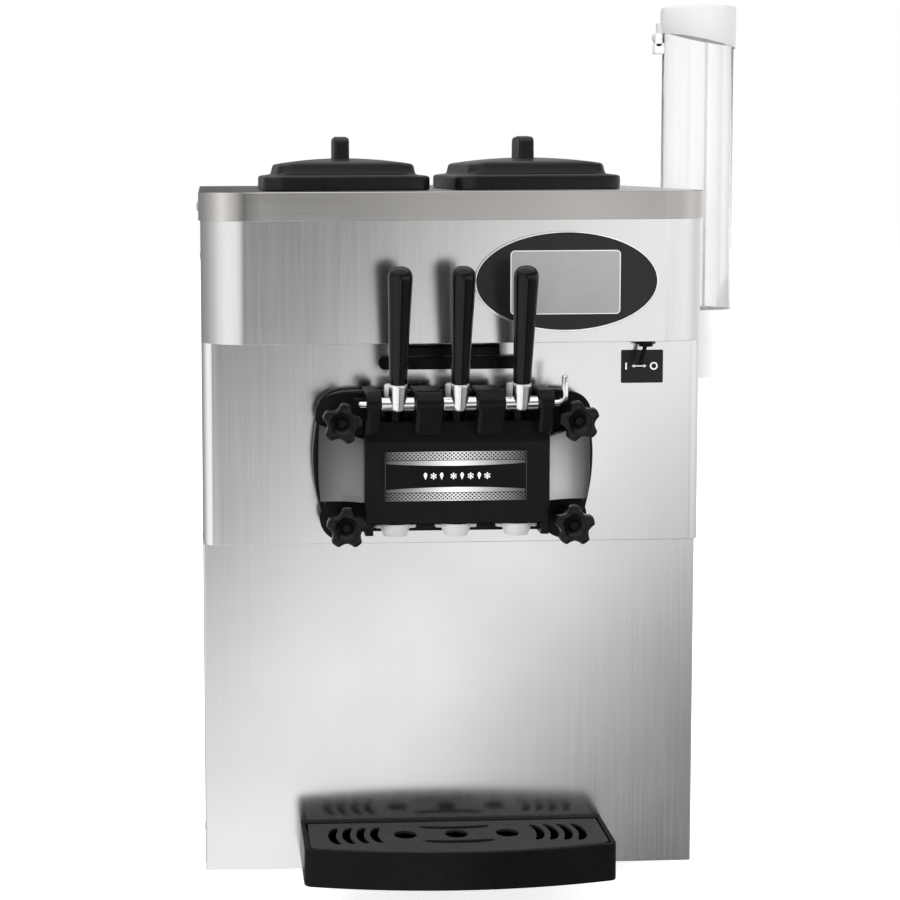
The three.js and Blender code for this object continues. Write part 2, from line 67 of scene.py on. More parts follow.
def add(nt, kind, **kw):
    n = nt.nodes.new(kind)
    for k, v in kw.items():
        setattr(n, k, v)
    return n


def coords(nt, scale, rot=(0, 0, 0)):
    tc = add(nt, "ShaderNodeTexCoord")
    mp = add(nt, "ShaderNodeMapping")
    mp.inputs["Scale"].default_value = scale
    mp.inputs["Rotation"].default_value = rot
    nt.links.new(tc.outputs["Object"], mp.inputs["Vector"])
    return mp.outputs["Vector"]


def noise(nt, vec, scale=1.0, detail=3.0, rough=0.55, dist=0.0):
    n = add(nt, "ShaderNodeTexNoise")
    n.inputs["Scale"].default_value = scale
    n.inputs["Detail"].default_value = detail
    n.inputs["Roughness"].default_value = rough
    n.inputs["Distortion"].default_value = dist
    nt.links.new(vec, n.inputs["Vector"])
    return n.outputs["Fac"]


def ramp(nt, fac, stops):
    r = add(nt, "ShaderNodeValToRGB")
    el = r.color_ramp.elements
    while len(el) < len(stops):
        el.new(0.5)
    for e, (p, c) in zip(el, stops):
        e.position = p
        e.color = (c, c, c, 1) if isinstance(c, (int, float)) else (*c, 1)
    nt.links.new(fac, r.inputs["Fac"])
    return r.outputs["Color"]


def maprange(nt, fac, a, b, c, d):
    n = add(nt, "ShaderNodeMapRange")
    for i, v in zip(("From Min", "From Max", "To Min", "To Max"), (a, b, c, d)):
        n.inputs[i].default_value = v
    nt.links.new(fac, n.inputs["Value"])
    return n.outputs["Result"]


def bump(nt, bsdf, height, strength, distance=0.0002, prev=None):
    b = add(nt, "ShaderNodeBump")
    b.inputs["Strength"].default_value = strength
    b.inputs["Distance"].default_value = distance
    nt.links.new(height, b.inputs["Height"])
    if prev is not None:
        nt.links.new(prev, b.inputs["Normal"])
    nt.links.new(b.outputs["Normal"], bsdf.inputs["Normal"])
    return b.outputs["Normal"]


def steel(name, base=0.72, lo=0.2, hi=0.32, grain="z", strength=0.12, tint=(1, 1, 0.995)):
    """Brushed stainless steel: fine scratches along one direction, broad cloudiness, faint smudges."""
    m, nt, b = nodes_of(name)
    b.inputs["Metallic"].default_value = 1.0
    sc = {"z": (900, 900, 9), "x": (9, 900, 900), "y": (900, 9, 900)}[grain]
    sc2 = {"z": (260, 260, 3), "x": (3, 260, 260), "y": (260, 3, 260)}[grain]
    fine = noise(nt, coords(nt, sc), 1.0, 2.0, 0.6)
    coarse = noise(nt, coords(nt, sc2), 1.0, 3.0, 0.6)
    cloud = noise(nt, coords(nt, (5, 5, 5)), 1.0, 3.0, 0.5)
    mix = add(nt, "ShaderNodeMix")
    mix.inputs["Factor"].default_value = 0.5
    nt.links.new(fine, mix.inputs["A"])
    nt.links.new(coarse, mix.inputs["B"])
    g = mix.outputs["Result"]
    nt.links.new(ramp(nt, g, [(0.3, tuple(base * 0.965 * t for t in tint)), (0.7, tuple(base * 1.03 * t for t in tint))]), b.inputs["Base Color"])
    mm = add(nt, "ShaderNodeMath", operation="MULTIPLY_ADD")
    nt.links.new(g, mm.inputs[0])
    mm.inputs[1].default_value = 0.1
    nt.links.new(maprange(nt, cloud, 0.3, 0.7, lo - 0.05, hi - 0.05), mm.inputs[2])
    nt.links.new(mm.outputs[0], b.inputs["Roughness"])
    bump(nt, b, g, strength, 0.00012)
    MATS[name] = m
    return m


def plastic(name, col, r0, r1, spec=0.5, scale=60, bstr=0.06, bscale=900, coat=0.0, coat_r=0.05, var=0.15):
    """Moulded plastic: slight tone and gloss variation and a fine moulded grain."""
    m, nt, b = nodes_of(name)
    c = col if isinstance(col, tuple) else (col, col, col)
    b.inputs["Specular IOR Level"].default_value = spec
    if coat:
        b.inputs["Coat Weight"].default_value = coat
        b.inputs["Coat Roughness"].default_value = coat_r
    f = noise(nt, coords(nt, (scale, scale, scale)), 1.0, 4.0, 0.6)
    nt.links.new(ramp(nt, f, [(0.3, tuple(v * (1 - var) for v in c)), (0.7, tuple(min(1, v * (1 + var)) for v in c))]), b.inputs["Base Color"])
    f2 = noise(nt, coords(nt, (scale * 0.6,) * 3), 1.0, 5.0, 0.65)
    nt.links.new(maprange(nt, f2, 0.3, 0.7, r0, r1), b.inputs["Roughness"])
    grain = noise(nt, coords(nt, (bscale,) * 3), 1.0, 2.0, 0.5)
    bump(nt, b, grain, bstr, 0.0001)
    MATS[name] = m
    return m


def chrome_mat(name, base=0.86, r0=0.05, r1=0.14):
    m, nt, b = nodes_of(name)
    b.inputs["Metallic"].default_value = 1.0
    f = noise(nt, coords(nt, (90, 90, 90)), 1.0, 4.0, 0.6)
    nt.links.new(ramp(nt, f, [(0.3, base * 0.95), (0.7, min(1, base * 1.04))]), b.inputs["Base Color"])
    nt.links.new(maprange(nt, f, 0.3, 0.7, r0, r1), b.inputs["Roughness"])
    g = noise(nt, coords(nt, (500, 500, 500)), 1.0, 2.0, 0.5)
    bump(nt, b, g, 0.03, 0.0001)
    MATS[name] = m
    return m


def clear_mat(name, col, rough, trans, ior=1.46, alpha=1.0):
    m, nt, b = nodes_of(name)
    b.inputs["Transmission Weight"].default_value = trans
    b.inputs["IOR"].default_value = ior
    f = noise(nt, coords(nt, (30, 30, 8)), 1.0, 3.0, 0.5)
    nt.links.new(ramp(nt, f, [(0.3, tuple(v * 0.97 for v in col)), (0.7, col)]), b.inputs["Base Color"])
    nt.links.new(maprange(nt, f, 0.3, 0.7, rough * 0.7, rough * 1.4), b.inputs["Roughness"])
    b.inputs["Alpha"].default_value = alpha
    g = noise(nt, coords(nt, (40, 40, 5)), 1.0, 2.0, 0.5)
    bump(nt, b, g, 0.04, 0.0003)
    MATS[name] = m
    return m


STEEL_V = steel("steel_front", 0.74, 0.15, 0.2, "z", 0.05)
STEEL_B = steel("steel_band", 0.6, 0.15, 0.22, "x", 0.08, (1.03, 1.0, 0.965))
STEEL_D = steel("steel_deck", 0.6, 0.3, 0.42, "x", 0.14)
STEEL_Y = steel("steel_side", 0.72, 0.24, 0.36, "z", 0.12)
STEEL_I = steel("steel_inner", 0.7, 0.25, 0.38, "y", 0.12)
GALV = plastic("galvanised", (0.45, 0.46, 0.46), 0.4, 0.6, scale=25, var=0.2)
GALV.node_tree.nodes["Principled BSDF"].inputs["Metallic"].default_value = 0.9
CHROME = chrome_mat("chrome")
SCREW = chrome_mat("screw_steel", 0.62, 0.2, 0.32)
SATIN = chrome_mat("ferrule_chrome", 0.9, 0.2, 0.26)
GLOSS = plastic("black_gloss", 0.003, 0.2, 0.3, spec=0.1)
GRATE = plastic("grate_black", 0.016, 0.22, 0.32, spec=0.38)
PANEL = plastic("black_panel", 0.009, 0.16, 0.22, spec=0.25, bstr=0.0)
GRIP = plastic("grip_black", 0.002, 0.12, 0.17, spec=0.26, bstr=0.02)
HEADB = plastic("head_black", 0.003, 0.22, 0.3, spec=0.13, bstr=0.08, bscale=700)
HEADW = plastic("head_wing", 0.07, 0.2, 0.26, spec=0.5, bstr=0.0)


def paint_wing_reflection(m):
    """Painted reflection on the wings: lighter beside the body on the right, darker at the outer rims, and lighter
    towards the bottom.
    """
    nt = m.node_tree
    b = nt.nodes["Principled BSDF"]
    tc = add(nt, "ShaderNodeTexCoord")
    sep = add(nt, "ShaderNodeSeparateXYZ")
    nt.links.new(tc.outputs["Object"], sep.inputs[0])
    x = add(nt, "ShaderNodeMath", operation="SUBTRACT")
    nt.links.new(sep.outputs[0], x.inputs[0])
    x.inputs[1].default_value = OX + HX / 1000
    c = ramp(nt, maprange(nt, x.outputs[0], -0.15, 0.15, 0, 1), [(0.0, 0.012), (0.05, 0.05), (0.12, 0.12), (0.17, 0.15), (0.5, 0.3), (0.83, 0.62), (0.87, 0.42), (0.92, 0.16), (0.97, 0.03), (1.0, 0.01)])
    up = maprange(nt, sep.outputs[2], 0.44, 0.53, 1.3, 0.35)
    mul = add(nt, "ShaderNodeVectorMath", operation="SCALE")
    nt.links.new(c, mul.inputs[0])
    nt.links.new(up, mul.inputs["Scale"])
    nt.links.new(mul.outputs[0], b.inputs["Base Color"])


# painted reflection gradient in the wing material's base colour
paint_wing_reflection(HEADW)
KNOBM = plastic("knob_black", 0.003, 0.16, 0.24, spec=0.22, bstr=0.12, bscale=800)
DARK = plastic("recess_black", 0.003, 0.5, 0.7, spec=0.15)
MATT = plastic("lid_black", 0.004, 0.26, 0.36, spec=0.34, bstr=0.1, bscale=600)
RUBBER = plastic("rubber_foot", 0.012, 0.7, 0.85, spec=0.3)
WHITE = plastic("white_plastic", (0.76, 0.76, 0.755), 0.3, 0.42, var=0.03)
PLUNG = plastic("plunger_grey", (0.62, 0.62, 0.62), 0.28, 0.4, var=0.06)
SCREEN = plastic("screen_grey", (0.255, 0.255, 0.258), 0.2, 0.26, spec=0.3, var=0.02, bstr=0.0)
BORDER = plastic("screen_border", (0.62, 0.62, 0.62), 0.3, 0.4, var=0.03)
PRINTW = plastic("print_white", (0.8, 0.8, 0.8), 0.4, 0.5, var=0.04)
CAST = plastic("cast_metal", (0.22, 0.23, 0.24), 0.5, 0.7, scale=120, bstr=0.4, bscale=400)
CAST.node_tree.nodes["Principled BSDF"].inputs["Metallic"].default_value = 0.6
ENAMEL = plastic("black_enamel", 0.02, 0.35, 0.5, bstr=0.15, bscale=300)
CLEAR = clear_mat("clear_tube", (0.865, 0.868, 0.868), 0.05, 0.93, 1.16)
# darker copy of the white plastic for the nozzle caps: painted shade
CAP_WHITE_SHADED = plastic("cap_white", (0.38, 0.38, 0.378), 0.3, 0.42, var=0.03)
# copy of the front steel that carries a painted highlight strip near its left edge
STEEL_M = steel("steel_middle", 0.74, 0.15, 0.2, "z", 0.05)


def tone(m, axis, lo, hi, stops):
    """Multiply the base colour by a ramp along one axis of the machine: painted highlights and shade standing in for
    reflections.
    """
    nt = m.node_tree
    b = nt.nodes["Principled BSDF"]
    src = b.inputs["Base Color"].links[0].from_socket
    tc = add(nt, "ShaderNodeTexCoord")
    sep = add(nt, "ShaderNodeSeparateXYZ")
    nt.links.new(tc.outputs["Object"], sep.inputs[0])
    c = ramp(nt, maprange(nt, sep.outputs[axis], lo, hi, 0, 1), stops)
    mul = add(nt, "ShaderNodeVectorMath", operation="MULTIPLY")
    nt.links.new(src, mul.inputs[0])
    nt.links.new(c, mul.inputs[1])
    nt.links.new(mul.outputs[0], b.inputs["Base Color"])


# painted reflections on the cap band: highlights near the left corner with a dark dip between them, darker towards the
# right and brighter again at the right end
tone(STEEL_B, 0, OX - 0.271, OX + 0.271, [(0.0, 1.0), (0.024, 1.0), (0.044, 1.1), (0.062, 0.75), (0.078, 0.56), (0.1, 1.0), (0.12, 1.28), (0.2, 1.24), (0.275, 1.12), (0.36, 1.03), (0.475, 0.92), (0.6, 0.83), (0.72, 0.78), (0.8, 0.72), (0.88, 0.66), (0.94, 0.67), (0.97, 0.9), (1.0, 1.0)])
# painted reflection on the deck: dark at the left, bright at the right
tone(STEEL_D, 0, OX - 0.271, OX + 0.271, [(0.0, 0.14), (0.12, 0.2), (0.45, 0.45), (0.8, 1.0), (1.0, 1.35)])
# painted highlight strip near the left edge of the middle panel
tone(STEEL_M, 0, OX - 0.27, OX + 0.27, [(0.0, 1.0), (0.014, 1.12), (0.022, 1.15), (0.036, 1.0), (1.0, 1.0)])
# painted shade and reflection lines on the clear tube: darker towards both edges, a thin dark line at the middle and a
# dark line near the right edge
tone(CLEAR, 0, OX + 0.2723, OX + 0.3563, [(0.0, 0.93), (0.1, 0.96), (0.3, 1.0), (0.44, 0.97), (0.5, 0.92), (0.55, 0.99), (0.78, 0.99), (0.85, 0.93), (0.91, 0.8), (0.94, 0.94), (1.0, 0.88)])
FROST = clear_mat("frosted_lid", (0.76, 0.765, 0.765), 0.42, 0.45, 1.2)


def badge_hatch(name):
    """Silver foil with a diamond hatch, fading to black towards the ends."""
    m, nt, b = nodes_of(name)
    b.inputs["Roughness"].default_value = 0.3
    tc = add(nt, "ShaderNodeTexCoord")
    sep = add(nt, "ShaderNodeSeparateXYZ")
    nt.links.new(tc.outputs["Object"], sep.inputs[0])

    def math1(op, a, v=None, c=None):
        n = add(nt, "ShaderNodeMath", operation=op)
        for i, s in enumerate((a, v, c)):
            if s is None:
                continue
            if isinstance(s, (int, float)):
                n.inputs[i].default_value = s
            else:
                nt.links.new(s, n.inputs[i])
        return n.outputs[0]

    k = 2 * pi / 0.0044
    x, z = sep.outputs[0], sep.outputs[2]
    a = math1("SINE", math1("MULTIPLY", math1("ADD", x, math1("MULTIPLY", z, 1.15)), k))
    c = math1("SINE", math1("MULTIPLY", math1("SUBTRACT", x, math1("MULTIPLY", z, 1.15)), k))
    h = math1("MAXIMUM", a, c)
    fade = math1("ABSOLUTE", math1("SUBTRACT", x, OX + (HX - 2) / 1000))
    g = maprange(nt, fade, 0.0, 0.076, 1.0, 0.05)
    col = math1("MULTIPLY", maprange(nt, h, 0.1, 0.95, 0.04, 0.85), math1("POWER", g, 1.1))
    comb = add(nt, "ShaderNodeCombineColor")
    for i in range(3):
        nt.links.new(col, comb.inputs[i])
    nt.links.new(comb.outputs[0], b.inputs["Base Color"])
    b.inputs["Metallic"].default_value = 0.35
    bump(nt, b, h, 0.35, 0.0003)
    return m


def badge_foil(name):
    m, nt, b = nodes_of(name)
    b.inputs["Metallic"].default_value = 0.5
    tc = add(nt, "ShaderNodeTexCoord")
    sep = add(nt, "ShaderNodeSeparateXYZ")
    nt.links.new(tc.outputs["Object"], sep.inputs[0])
    s = add(nt, "ShaderNodeMath", operation="SUBTRACT")
    nt.links.new(sep.outputs[0], s.inputs[0])
    s.inputs[1].default_value = OX + (HX - 2) / 1000
    ab = add(nt, "ShaderNodeMath", operation="ABSOLUTE")
    nt.links.new(s.outputs[0], ab.inputs[0])
    nt.links.new(ramp(nt, maprange(nt, ab.outputs[0], 0, 0.076, 0, 1), [(0.0, 0.95), (0.3, 0.6), (0.6, 0.26), (0.9, 0.09), (1.0, 0.04)]), b.inputs["Base Color"])
    f = noise(nt, coords(nt, (40, 400, 400)), 1.0, 3.0, 0.5)
    nt.links.new(maprange(nt, f, 0.3, 0.7, 0.22, 0.34), b.inputs["Roughness"])
    return m


HATCH = badge_hatch("badge_hatch")
FOIL = badge_foil("badge_foil_silver")


# ------------------------------------------------------------------ mesh helpers
def make(name, verts, faces, body, mat, slot, rep=(), smooth=40, weighted=True, raw=False):
    me = bpy.data.meshes.new(name)
    me.from_pydata([v if raw else W3(*v) for v in verts], [], faces)
    bm = bmesh.new()
    bm.from_mesh(me)
    bmesh.ops.remove_doubles(bm, verts=bm.verts, dist=1e-6)
    bmesh.ops.dissolve_degenerate(bm, dist=1e-7, edges=bm.edges)
    bmesh.ops.recalc_face_normals(bm, faces=bm.faces)
    bm.to_mesh(me)
    bm.free()
    me.materials.append(mat)
    me.shade_smooth()
    me.set_sharp_from_angle(angle=radians(smooth))
    ob = bpy.data.objects.new(name, me)
    bpy.context.scene.collection.objects.link(ob)
    if weighted:
        w = ob.modifiers.new("weighted", "WEIGHTED_NORMAL")
        w.keep_sharp = True
        w.weight = 80
    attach(ob, body)
    if rep:
        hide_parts(*rep)
    return ob


def merge(parts):
    """Joins (verts, faces) lists into one."""
    V, F = [], []
    for v, f in parts:
        o = len(V)
        V += list(v)
        F += [[i + o for i in q] for q in f]
    return V, F


def area2(p):
    return sum(p[i][0] * p[(i + 1) % len(p)][1] - p[(i + 1) % len(p)][0] * p[i][1] for i in range(len(p))) / 2


def clean(p):
    out = []
    for q in p:
        if not out or (abs(q[0] - out[-1][0]) + abs(q[1] - out[-1][1])) > 1e-4:
            out.append(tuple(q))
    if abs(out[0][0] - out[-1][0]) + abs(out[0][1] - out[-1][1]) < 1e-4:
        out.pop()
    return out


def inset(p, d):
    """Moves each point of a contour d to its left, mitred."""
    n, out = len(p), []
    for i in range(n):
        a, b, c = p[i - 1], p[i], p[(i + 1) % n]
        e1 = Vector((b[0] - a[0], b[1] - a[1])).normalized()
        e2 = Vector((c[0] - b[0], c[1] - b[1])).normalized()
        n1, n2 = Vector((-e1.y, e1.x)), Vector((-e2.y, e2.x))
        m = n1 + n2
        if m.length < 1e-6:
            m = n1
        m.normalize()
        k = d / max(m.dot(n1), 0.35)
        out.append((b[0] + m.x * k, b[1] + m.y * k))
    return out


def plate(outer, holes, plane, a0, a1, bev=0.4, steps=3, bev0=None):
    """A prism of an outline with holes, its edges rounded: (verts, faces).
    plane 'xy' extrudes along Z, 'xz' along Y, 'yz' along X. bev is at the a1 end, bev0 at the a0 end."""
    bev0 = bev if bev0 is None else bev0
    cs = []
    for i, p in enumerate([outer] + list(holes)):
        p = clean(p)
        if (area2(p) > 0) != (i == 0):
            p = p[::-1]
        cs.append(p)

    def rows(b, sign):
        if b <= 0:
            return [(0.0, 0.0)]
        return [(b * (1 - sin(t * pi / 2 / steps)), b * (1 - cos(t * pi / 2 / steps))) for t in range(steps + 1)]

    low = [(i, a0 + h) for i, h in rows(bev0, 0)]
    high = [(i, a1 - h) for i, h in rows(bev, 1)][::-1]
    prof = low + high
    V, F, starts = [], [], []

    def put(x, y, a):
        V.append({"xy": (x, y, a), "xz": (x, a, y), "yz": (a, x, y)}[plane])

    grid = []
    for c in cs:
        rowsidx = []
        for ins, a in prof:
            q = inset(c, ins) if ins > 1e-6 else c
            s = len(V)
            for x, y in q:
                put(x, y, a)
            rowsidx.append(s)
        n = len(c)
        for r in range(len(prof) - 1):
            s0, s1 = rowsidx[r], rowsidx[r + 1]
            for i in range(n):
                j = (i + 1) % n
                F.append([s0 + i, s0 + j, s1 + j, s1 + i])
        grid.append((rowsidx, n))
    for end in (0, -1):
        polys, idx = [], []
        for rowsidx, n in grid:
            s = rowsidx[end]
            idx += list(range(s, s + n))
            ax = {"xy": (0, 1), "xz": (0, 2), "yz": (1, 2)}[plane]
            polys.append([Vector((V[k][ax[0]], V[k][ax[1]], 0)) for k in range(s, s + n)])
        if len(polys) == 1 and len(polys[0]) < 5:
            F.append(idx)
        else:
            for t in tessellate_polygon(polys):
                F.append([idx[k] for k in t])
    return V, F


def lathe(profile, n=48, at=(0, 0, 0), axis="z", tilt=0.0, closed=False):
    """Revolves (radius, height) points. Radius 0 ends are poles; closed joins last to first."""
    V, F, rows = [], [], []
    for r, h in profile:
        if r < 1e-6:
            rows.append([len(V)])
            V.append((0.0, 0.0, h))
        else:
            rows.append(list(range(len(V), len(V) + n)))
            V += [(r * cos(2 * pi * i / n), r * sin(2 * pi * i / n), h) for i in range(n)]
    m = len(rows)
    for k in range(m if closed else m - 1):
        a, b = rows[k], rows[(k + 1) % m]
        for i in range(n):
            j = (i + 1) % n
            if len(a) == 1 and len(b) == 1:
                continue
            if len(a) == 1:
                F.append([a[0], b[j], b[i]])
            elif len(b) == 1:
                F.append([a[i], a[j], b[0]])
            else:
                F.append([a[i], a[j], b[j], b[i]])
    if axis == "x":
        V = [(z, x, y) for x, y, z in V]
    elif axis == "y":
        V = [(y, z, x) for x, y, z in V]
    elif axis == "-y":
        V = [(x, -z, y) for x, y, z in V]
    if tilt:
        c, s = cos(tilt), sin(tilt)
        V = [(x, y * c - z * s, y * s + z * c) for x, y, z in V]
    return [(x + at[0], y + at[1], z + at[2]) for x, y, z in V], F


def arc(cx, cy, r, a0, a1, n):
    return [(cx + r * cos(radians(a0 + (a1 - a0) * i / n)), cy + r * sin(radians(a0 + (a1 - a0) * i / n))) for i in range(n + 1)]


def rrect(x0, x1, y0, y1, r, n=8, rb=None):
    rb = r if rb is None else rb
    return arc(x0 + r, y0 + r, r, 180, 270, n) + arc(x1 - r, y0 + r, r, 270, 360, n) + arc(x1 - rb, y1 - rb, rb, 0, 90, n) + arc(x0 + rb, y1 - rb, rb, 90, 180, n)


def ell(cx, cy, a, b, n=72):
    return [(cx + a * cos(2 * pi * i / n), cy + b * sin(2 * pi * i / n)) for i in range(n)]


def loft(rings):
    """Closed skin through rings of equal count, with fans at both ends."""
    n, V, F = len(rings[0]), [], []
    for r in rings:
        V += list(r)
    for k in range(len(rings) - 1):
        for i in range(n):
            j = (i + 1) % n
            F.append([k * n + i, k * n + j, (k + 1) * n + j, (k + 1) * n + i])
    for s, r in ((0, rings[0]), ((len(rings) - 1) * n, rings[-1])):
        c = len(V)
        V.append(tuple(sum(p[i] for p in r) / n for i in range(3)))
        F += [[s + i, s + (i + 1) % n, c] for i in range(n)]
    return V, F


def u_sheet(hw, yf, yb, r, t, n):
    ri = max(r - t, 0.05)
    return ([(-hw, yb)] + arc(-hw + r, yf + r, r, 180, 270, n) + arc(hw - r, yf + r, r, 270, 360, n) + [(hw, yb), (hw - t, yb)]
            + arc(hw - t - ri, yf + t + ri, ri, 360, 270, n) + arc(-hw + t + ri, yf + t + ri, ri, 270, 180, n) + [(-hw + t, yb)])


def cut(vf, cutters):
    """Subtracts closed meshes (verts, faces) from one."""
    def temp(v, f, nm):
        me = bpy.data.meshes.new(nm)
        me.from_pydata([Vector(p) for p in v], [], f)
        bm = bmesh.new(); bm.from_mesh(me); bmesh.ops.recalc_face_normals(bm, faces=bm.faces); bm.to_mesh(me); bm.free()
        o = bpy.data.objects.new(nm, me)
        bpy.context.scene.collection.objects.link(o)
        return o
    a = temp(*vf, "tmp_a")
    b = temp(*merge(cutters), "tmp_b")
    m = a.modifiers.new("cut", "BOOLEAN")
    m.operation, m.solver, m.object = "DIFFERENCE", "EXACT", b
    bpy.context.view_layer.update()
    me = bpy.data.meshes.new_from_object(a.evaluated_get(bpy.context.evaluated_depsgraph_get()))
    V = [tuple(v.co) for v in me.vertices]
    F = [list(p.vertices) for p in me.polygons]
    bpy.data.objects.remove(a); bpy.data.objects.remove(b)
    return V, F


def disc(x, y, z, r, h, axis, n=24, dome=0.0):
    return lathe([(0, 0), (r, 0), (r, h * 0.7), (r * 0.85, h), (0, h + dome)], n, (x, y, z), axis)


CAB = "cabinet"
# ------------------------------------------------------------------ front panels, deck
FR = 0.45
make("fascia_sheet", *plate(u_sheet(270, 1.9, 78, 48, 1.5, 28), [], "xy", 610, 745, 0.4), CAB, STEEL_V, "cabinet_steel", ["upper_fascia"], weighted=True)
flange_out = [(-268.6, 54)] + arc(-269.4 + 47.4, 2.5 + 47.4, 47.4, 180, 270, 20) + arc(269.4 - 47.4, 2.5 + 47.4, 47.4, 270, 360, 20) + [(268.6, 54)]
make("fascia_underside", *plate(flange_out, [ell(205, 16, 6.4, 6.4, 32)], "xy", 610.3, 611.9, 0.2), CAB, STEEL_B, "cabinet_steel")
make("middle_sheet", *plate(u_sheet(269.8, 36, 78, 12, 1.5, 14), [], "xy", 390.3, 609.7, 0.5), CAB, STEEL_M, "cabinet_steel", ["middle_front_panel"])
make("middle_underside", *plate([(-268, 62)] + arc(-269.4 + 11.4, 36.4 + 11.4, 11.4, 180, 270, 10) + arc(269.4 - 11.4, 36.4 + 11.4, 11.4, 270, 360, 10) + [(268, 62)], [], "xy", 390.6, 392, 0.2), CAB, STEEL_B, "cabinet_steel")
make("lower_sheet", *plate(u_sheet(269.6, 54, 78, 1.8, 1.5, 5), [], "xy", 24, 390, 0.3), CAB, STEEL_V, "cabinet_steel", ["lower_front_panel"])

deck_out = arc(-272 + 50, 50, 50, 180, 270, 28) + arc(272 - 50, 50, 50, 270, 360, 28) + [(272, 643.9), (-272, 643.9)]


def inset_deck(d):
    r = 50 - d
    return arc(-222, 50, r, 180, 270, 28) + arc(222, 50, r, 270, 360, 28) + [(272 - d, 643.9 - d), (-272 + d, 643.9 - d)]


make("deck_rim", *plate(deck_out, [inset_deck(1.6)], "xy", 740, 770, 0.75, bev0=0.3), CAB, STEEL_B, "deck_steel", ["top_deck"])
make("deck_rim_screws", *merge([([(s * (272 + v[0]), y + v[1], 755 + v[2]) for v in lathe([(0, -0.5), (5.4, -0.5), (5.2, 0.6), (3.8, 1.5), (0, 1.8)], 24, (0, 0, 0), "x")[0]], lathe([(0, -0.5), (5.4, -0.5), (5.2, 0.6), (3.8, 1.5), (0, 1.8)], 24, (0, 0, 0), "x")[1]) for s in (-1, 1) for y in (66, 600)]), CAB, SCREW, "deck_steel")
hop = lambda s, d=0: rrect(s * 107 - 75.5 + d, s * 107 + 75.5 - d, 238 - 113.5 + d, 238 + 113.5 - d, 25, 8)
make("deck_sheet", *plate(inset_deck(1.2), [hop(-1), hop(1)], "xy", 768.2, 769.95, 0.2), CAB, STEEL_D, "deck_steel")

# ------------------------------------------------------------------ sides, rear, base, feet
def slot_loop(y0, y1, z0, z1):
    return rrect(y0, y1, z0, z1, (z1 - z0) / 2 - 0.05, 4)


def hood(y0, y1, z0, z1, sx, xs):
    """A pressed louvre over a slot: a curved thin hood open at the bottom, on the side at x = xs."""
    rows = []
    H, D, t = z1 - z0 + 5, 5.2, 0.8
    prof_o = [(0, z1 + 5)] + [(D * sin(a * pi / 16), z0 - 1 + (H + 1) * cos(a * pi / 16)) for a in range(1, 8)] + [(D, z0 - 1.5)]
    prof_i = [(max(0.0, x - t), z - (0.9 if i == 0 else 0.4)) for i, (x, z) in enumerate(prof_o)][::-1]
    loop = prof_o + prof_i[:-1] + [(0, z1 + 4.1)]
    rings = []
    for k in range(9):
        u = k / 8
        w = max(0.02, sin(pi * min(1, max(0, u * 4 if u < 0.25 else (1 - u) * 4 if u > 0.75 else 0.5)) / 2)) if u not in (0, 1) else 0.04
        w = min(1, w)
        y = y0 + (y1 - y0) * (0.5 - 0.5 * cos(pi * u))
        rings.append([(xs + sx * x * w, y, z) for x, z in loop])
    return loft(rings)


SLOT_Z = [110 + 22 * k for k in range(9)]
for side, s in (("left", -1), ("right", 1)):
    holes = [slot_loop(y, y + 130, z, z + 7) for y in (200, 400) for z in SLOT_Z]
    x0, x1 = (268.5, 270) if s > 0 else (-270, -268.5)
    make("side_sheet_" + side, *plate([(78.4, 24), (640, 24), (640, 745), (78.4, 745)], holes, "yz", x0, x1, 0.25), CAB, STEEL_Y, "cabinet_steel", ["side_panel_" + side])
    make("side_louvres_" + side, *merge([hood(y + 3, y + 127, z, z + 7, -s, s * 268.7) for y in (200, 400) for z in SLOT_Z]), CAB, STEEL_Y, "cabinet_steel")
    pts = [(96, 60), (96, 390), (96, 700), (622, 60), (622, 390), (622, 700), (360, 60), (360, 700)]
    make("side_screws_" + side, *merge([lathe([(0, 0), (4.2, 0), (4.0, 1.2), (2.8, 2.0), (0, 2.3)], 20, (0, 0, 0), "x") if False else
         [[(s * (270 + v[0]), y + v[1], z + v[2]) for v in lathe([(0, -0.5), (4.4, -0.5), (4.2, 0.3), (3.0, 0.6), (0, 0.7)], 20, (0, 0, 0), "x")[0]], lathe([(0, -0.5), (4.4, -0.5), (4.2, 0.3), (3.0, 0.6), (0, 0.7)], 20, (0, 0, 0), "x")[1]]
         for y, z in pts]), CAB, SCREW, "polished_chrome")
rear_holes = [rrect(155, 205, 65, 95, 1.5, 3)] + [rrect(x, x + 160, 170 + k * 26, 178 + k * 26, 3.9, 4) for x in (-200, 40) for k in range(7)]
make("rear_sheet", *plate([(-270, 24), (270, 24), (270, 745), (-270, 745)], rear_holes, "xz", 640.4, 641.9, 0.25), CAB, STEEL_Y, "cabinet_steel", ["rear_panel"])
make("rear_screws", *merge([lathe([(0, 0), (4.2, 0), (4.0, 1.2), (2.8, 2.0), (0, 2.3)], 20, (x, 641.5, z), "y") for x in (-255, 0, 255) for z in (45, 390, 725)]), CAB, SCREW, "polished_chrome")
for n in ("front_left", "front_right", "rear_left", "rear_right"):
    lo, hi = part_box("foot_" + n)
    cx, cy = ((lo.x + hi.x) / 2 - OX) * 1000, ((lo.y + hi.y) / 2 - OY) * 1000
    make("foot_pad_" + n, *lathe([(0, 0), (18.6, 0), (20.6, 0.8), (21.4, 3), (21.4, 8.4), (20.8, 9.8), (18, 11.4), (17, 14), (17, 25.6), (0, 25.6)], 40, (cx, cy, 0)), CAB, RUBBER, "foot_rubber", ["foot_" + n])
    make("foot_nut_" + n, *merge([plate(ell(cx, cy, 11, 11, 6), [], "xy", 20, 25.7, 0.5)]), CAB, SCREW, "polished_chrome")

# ------------------------------------------------------------------ hoppers and lids
def rr3(w, l, r, z, n=8, crown=None, cx=0, cy=0):
    out = []
    for x, y in rrect(-w, w, -l, l, max(r, 0.5), n):
        out.append((cx + x, cy + y, z if crown is None else z + crown(x, y)))
    return out


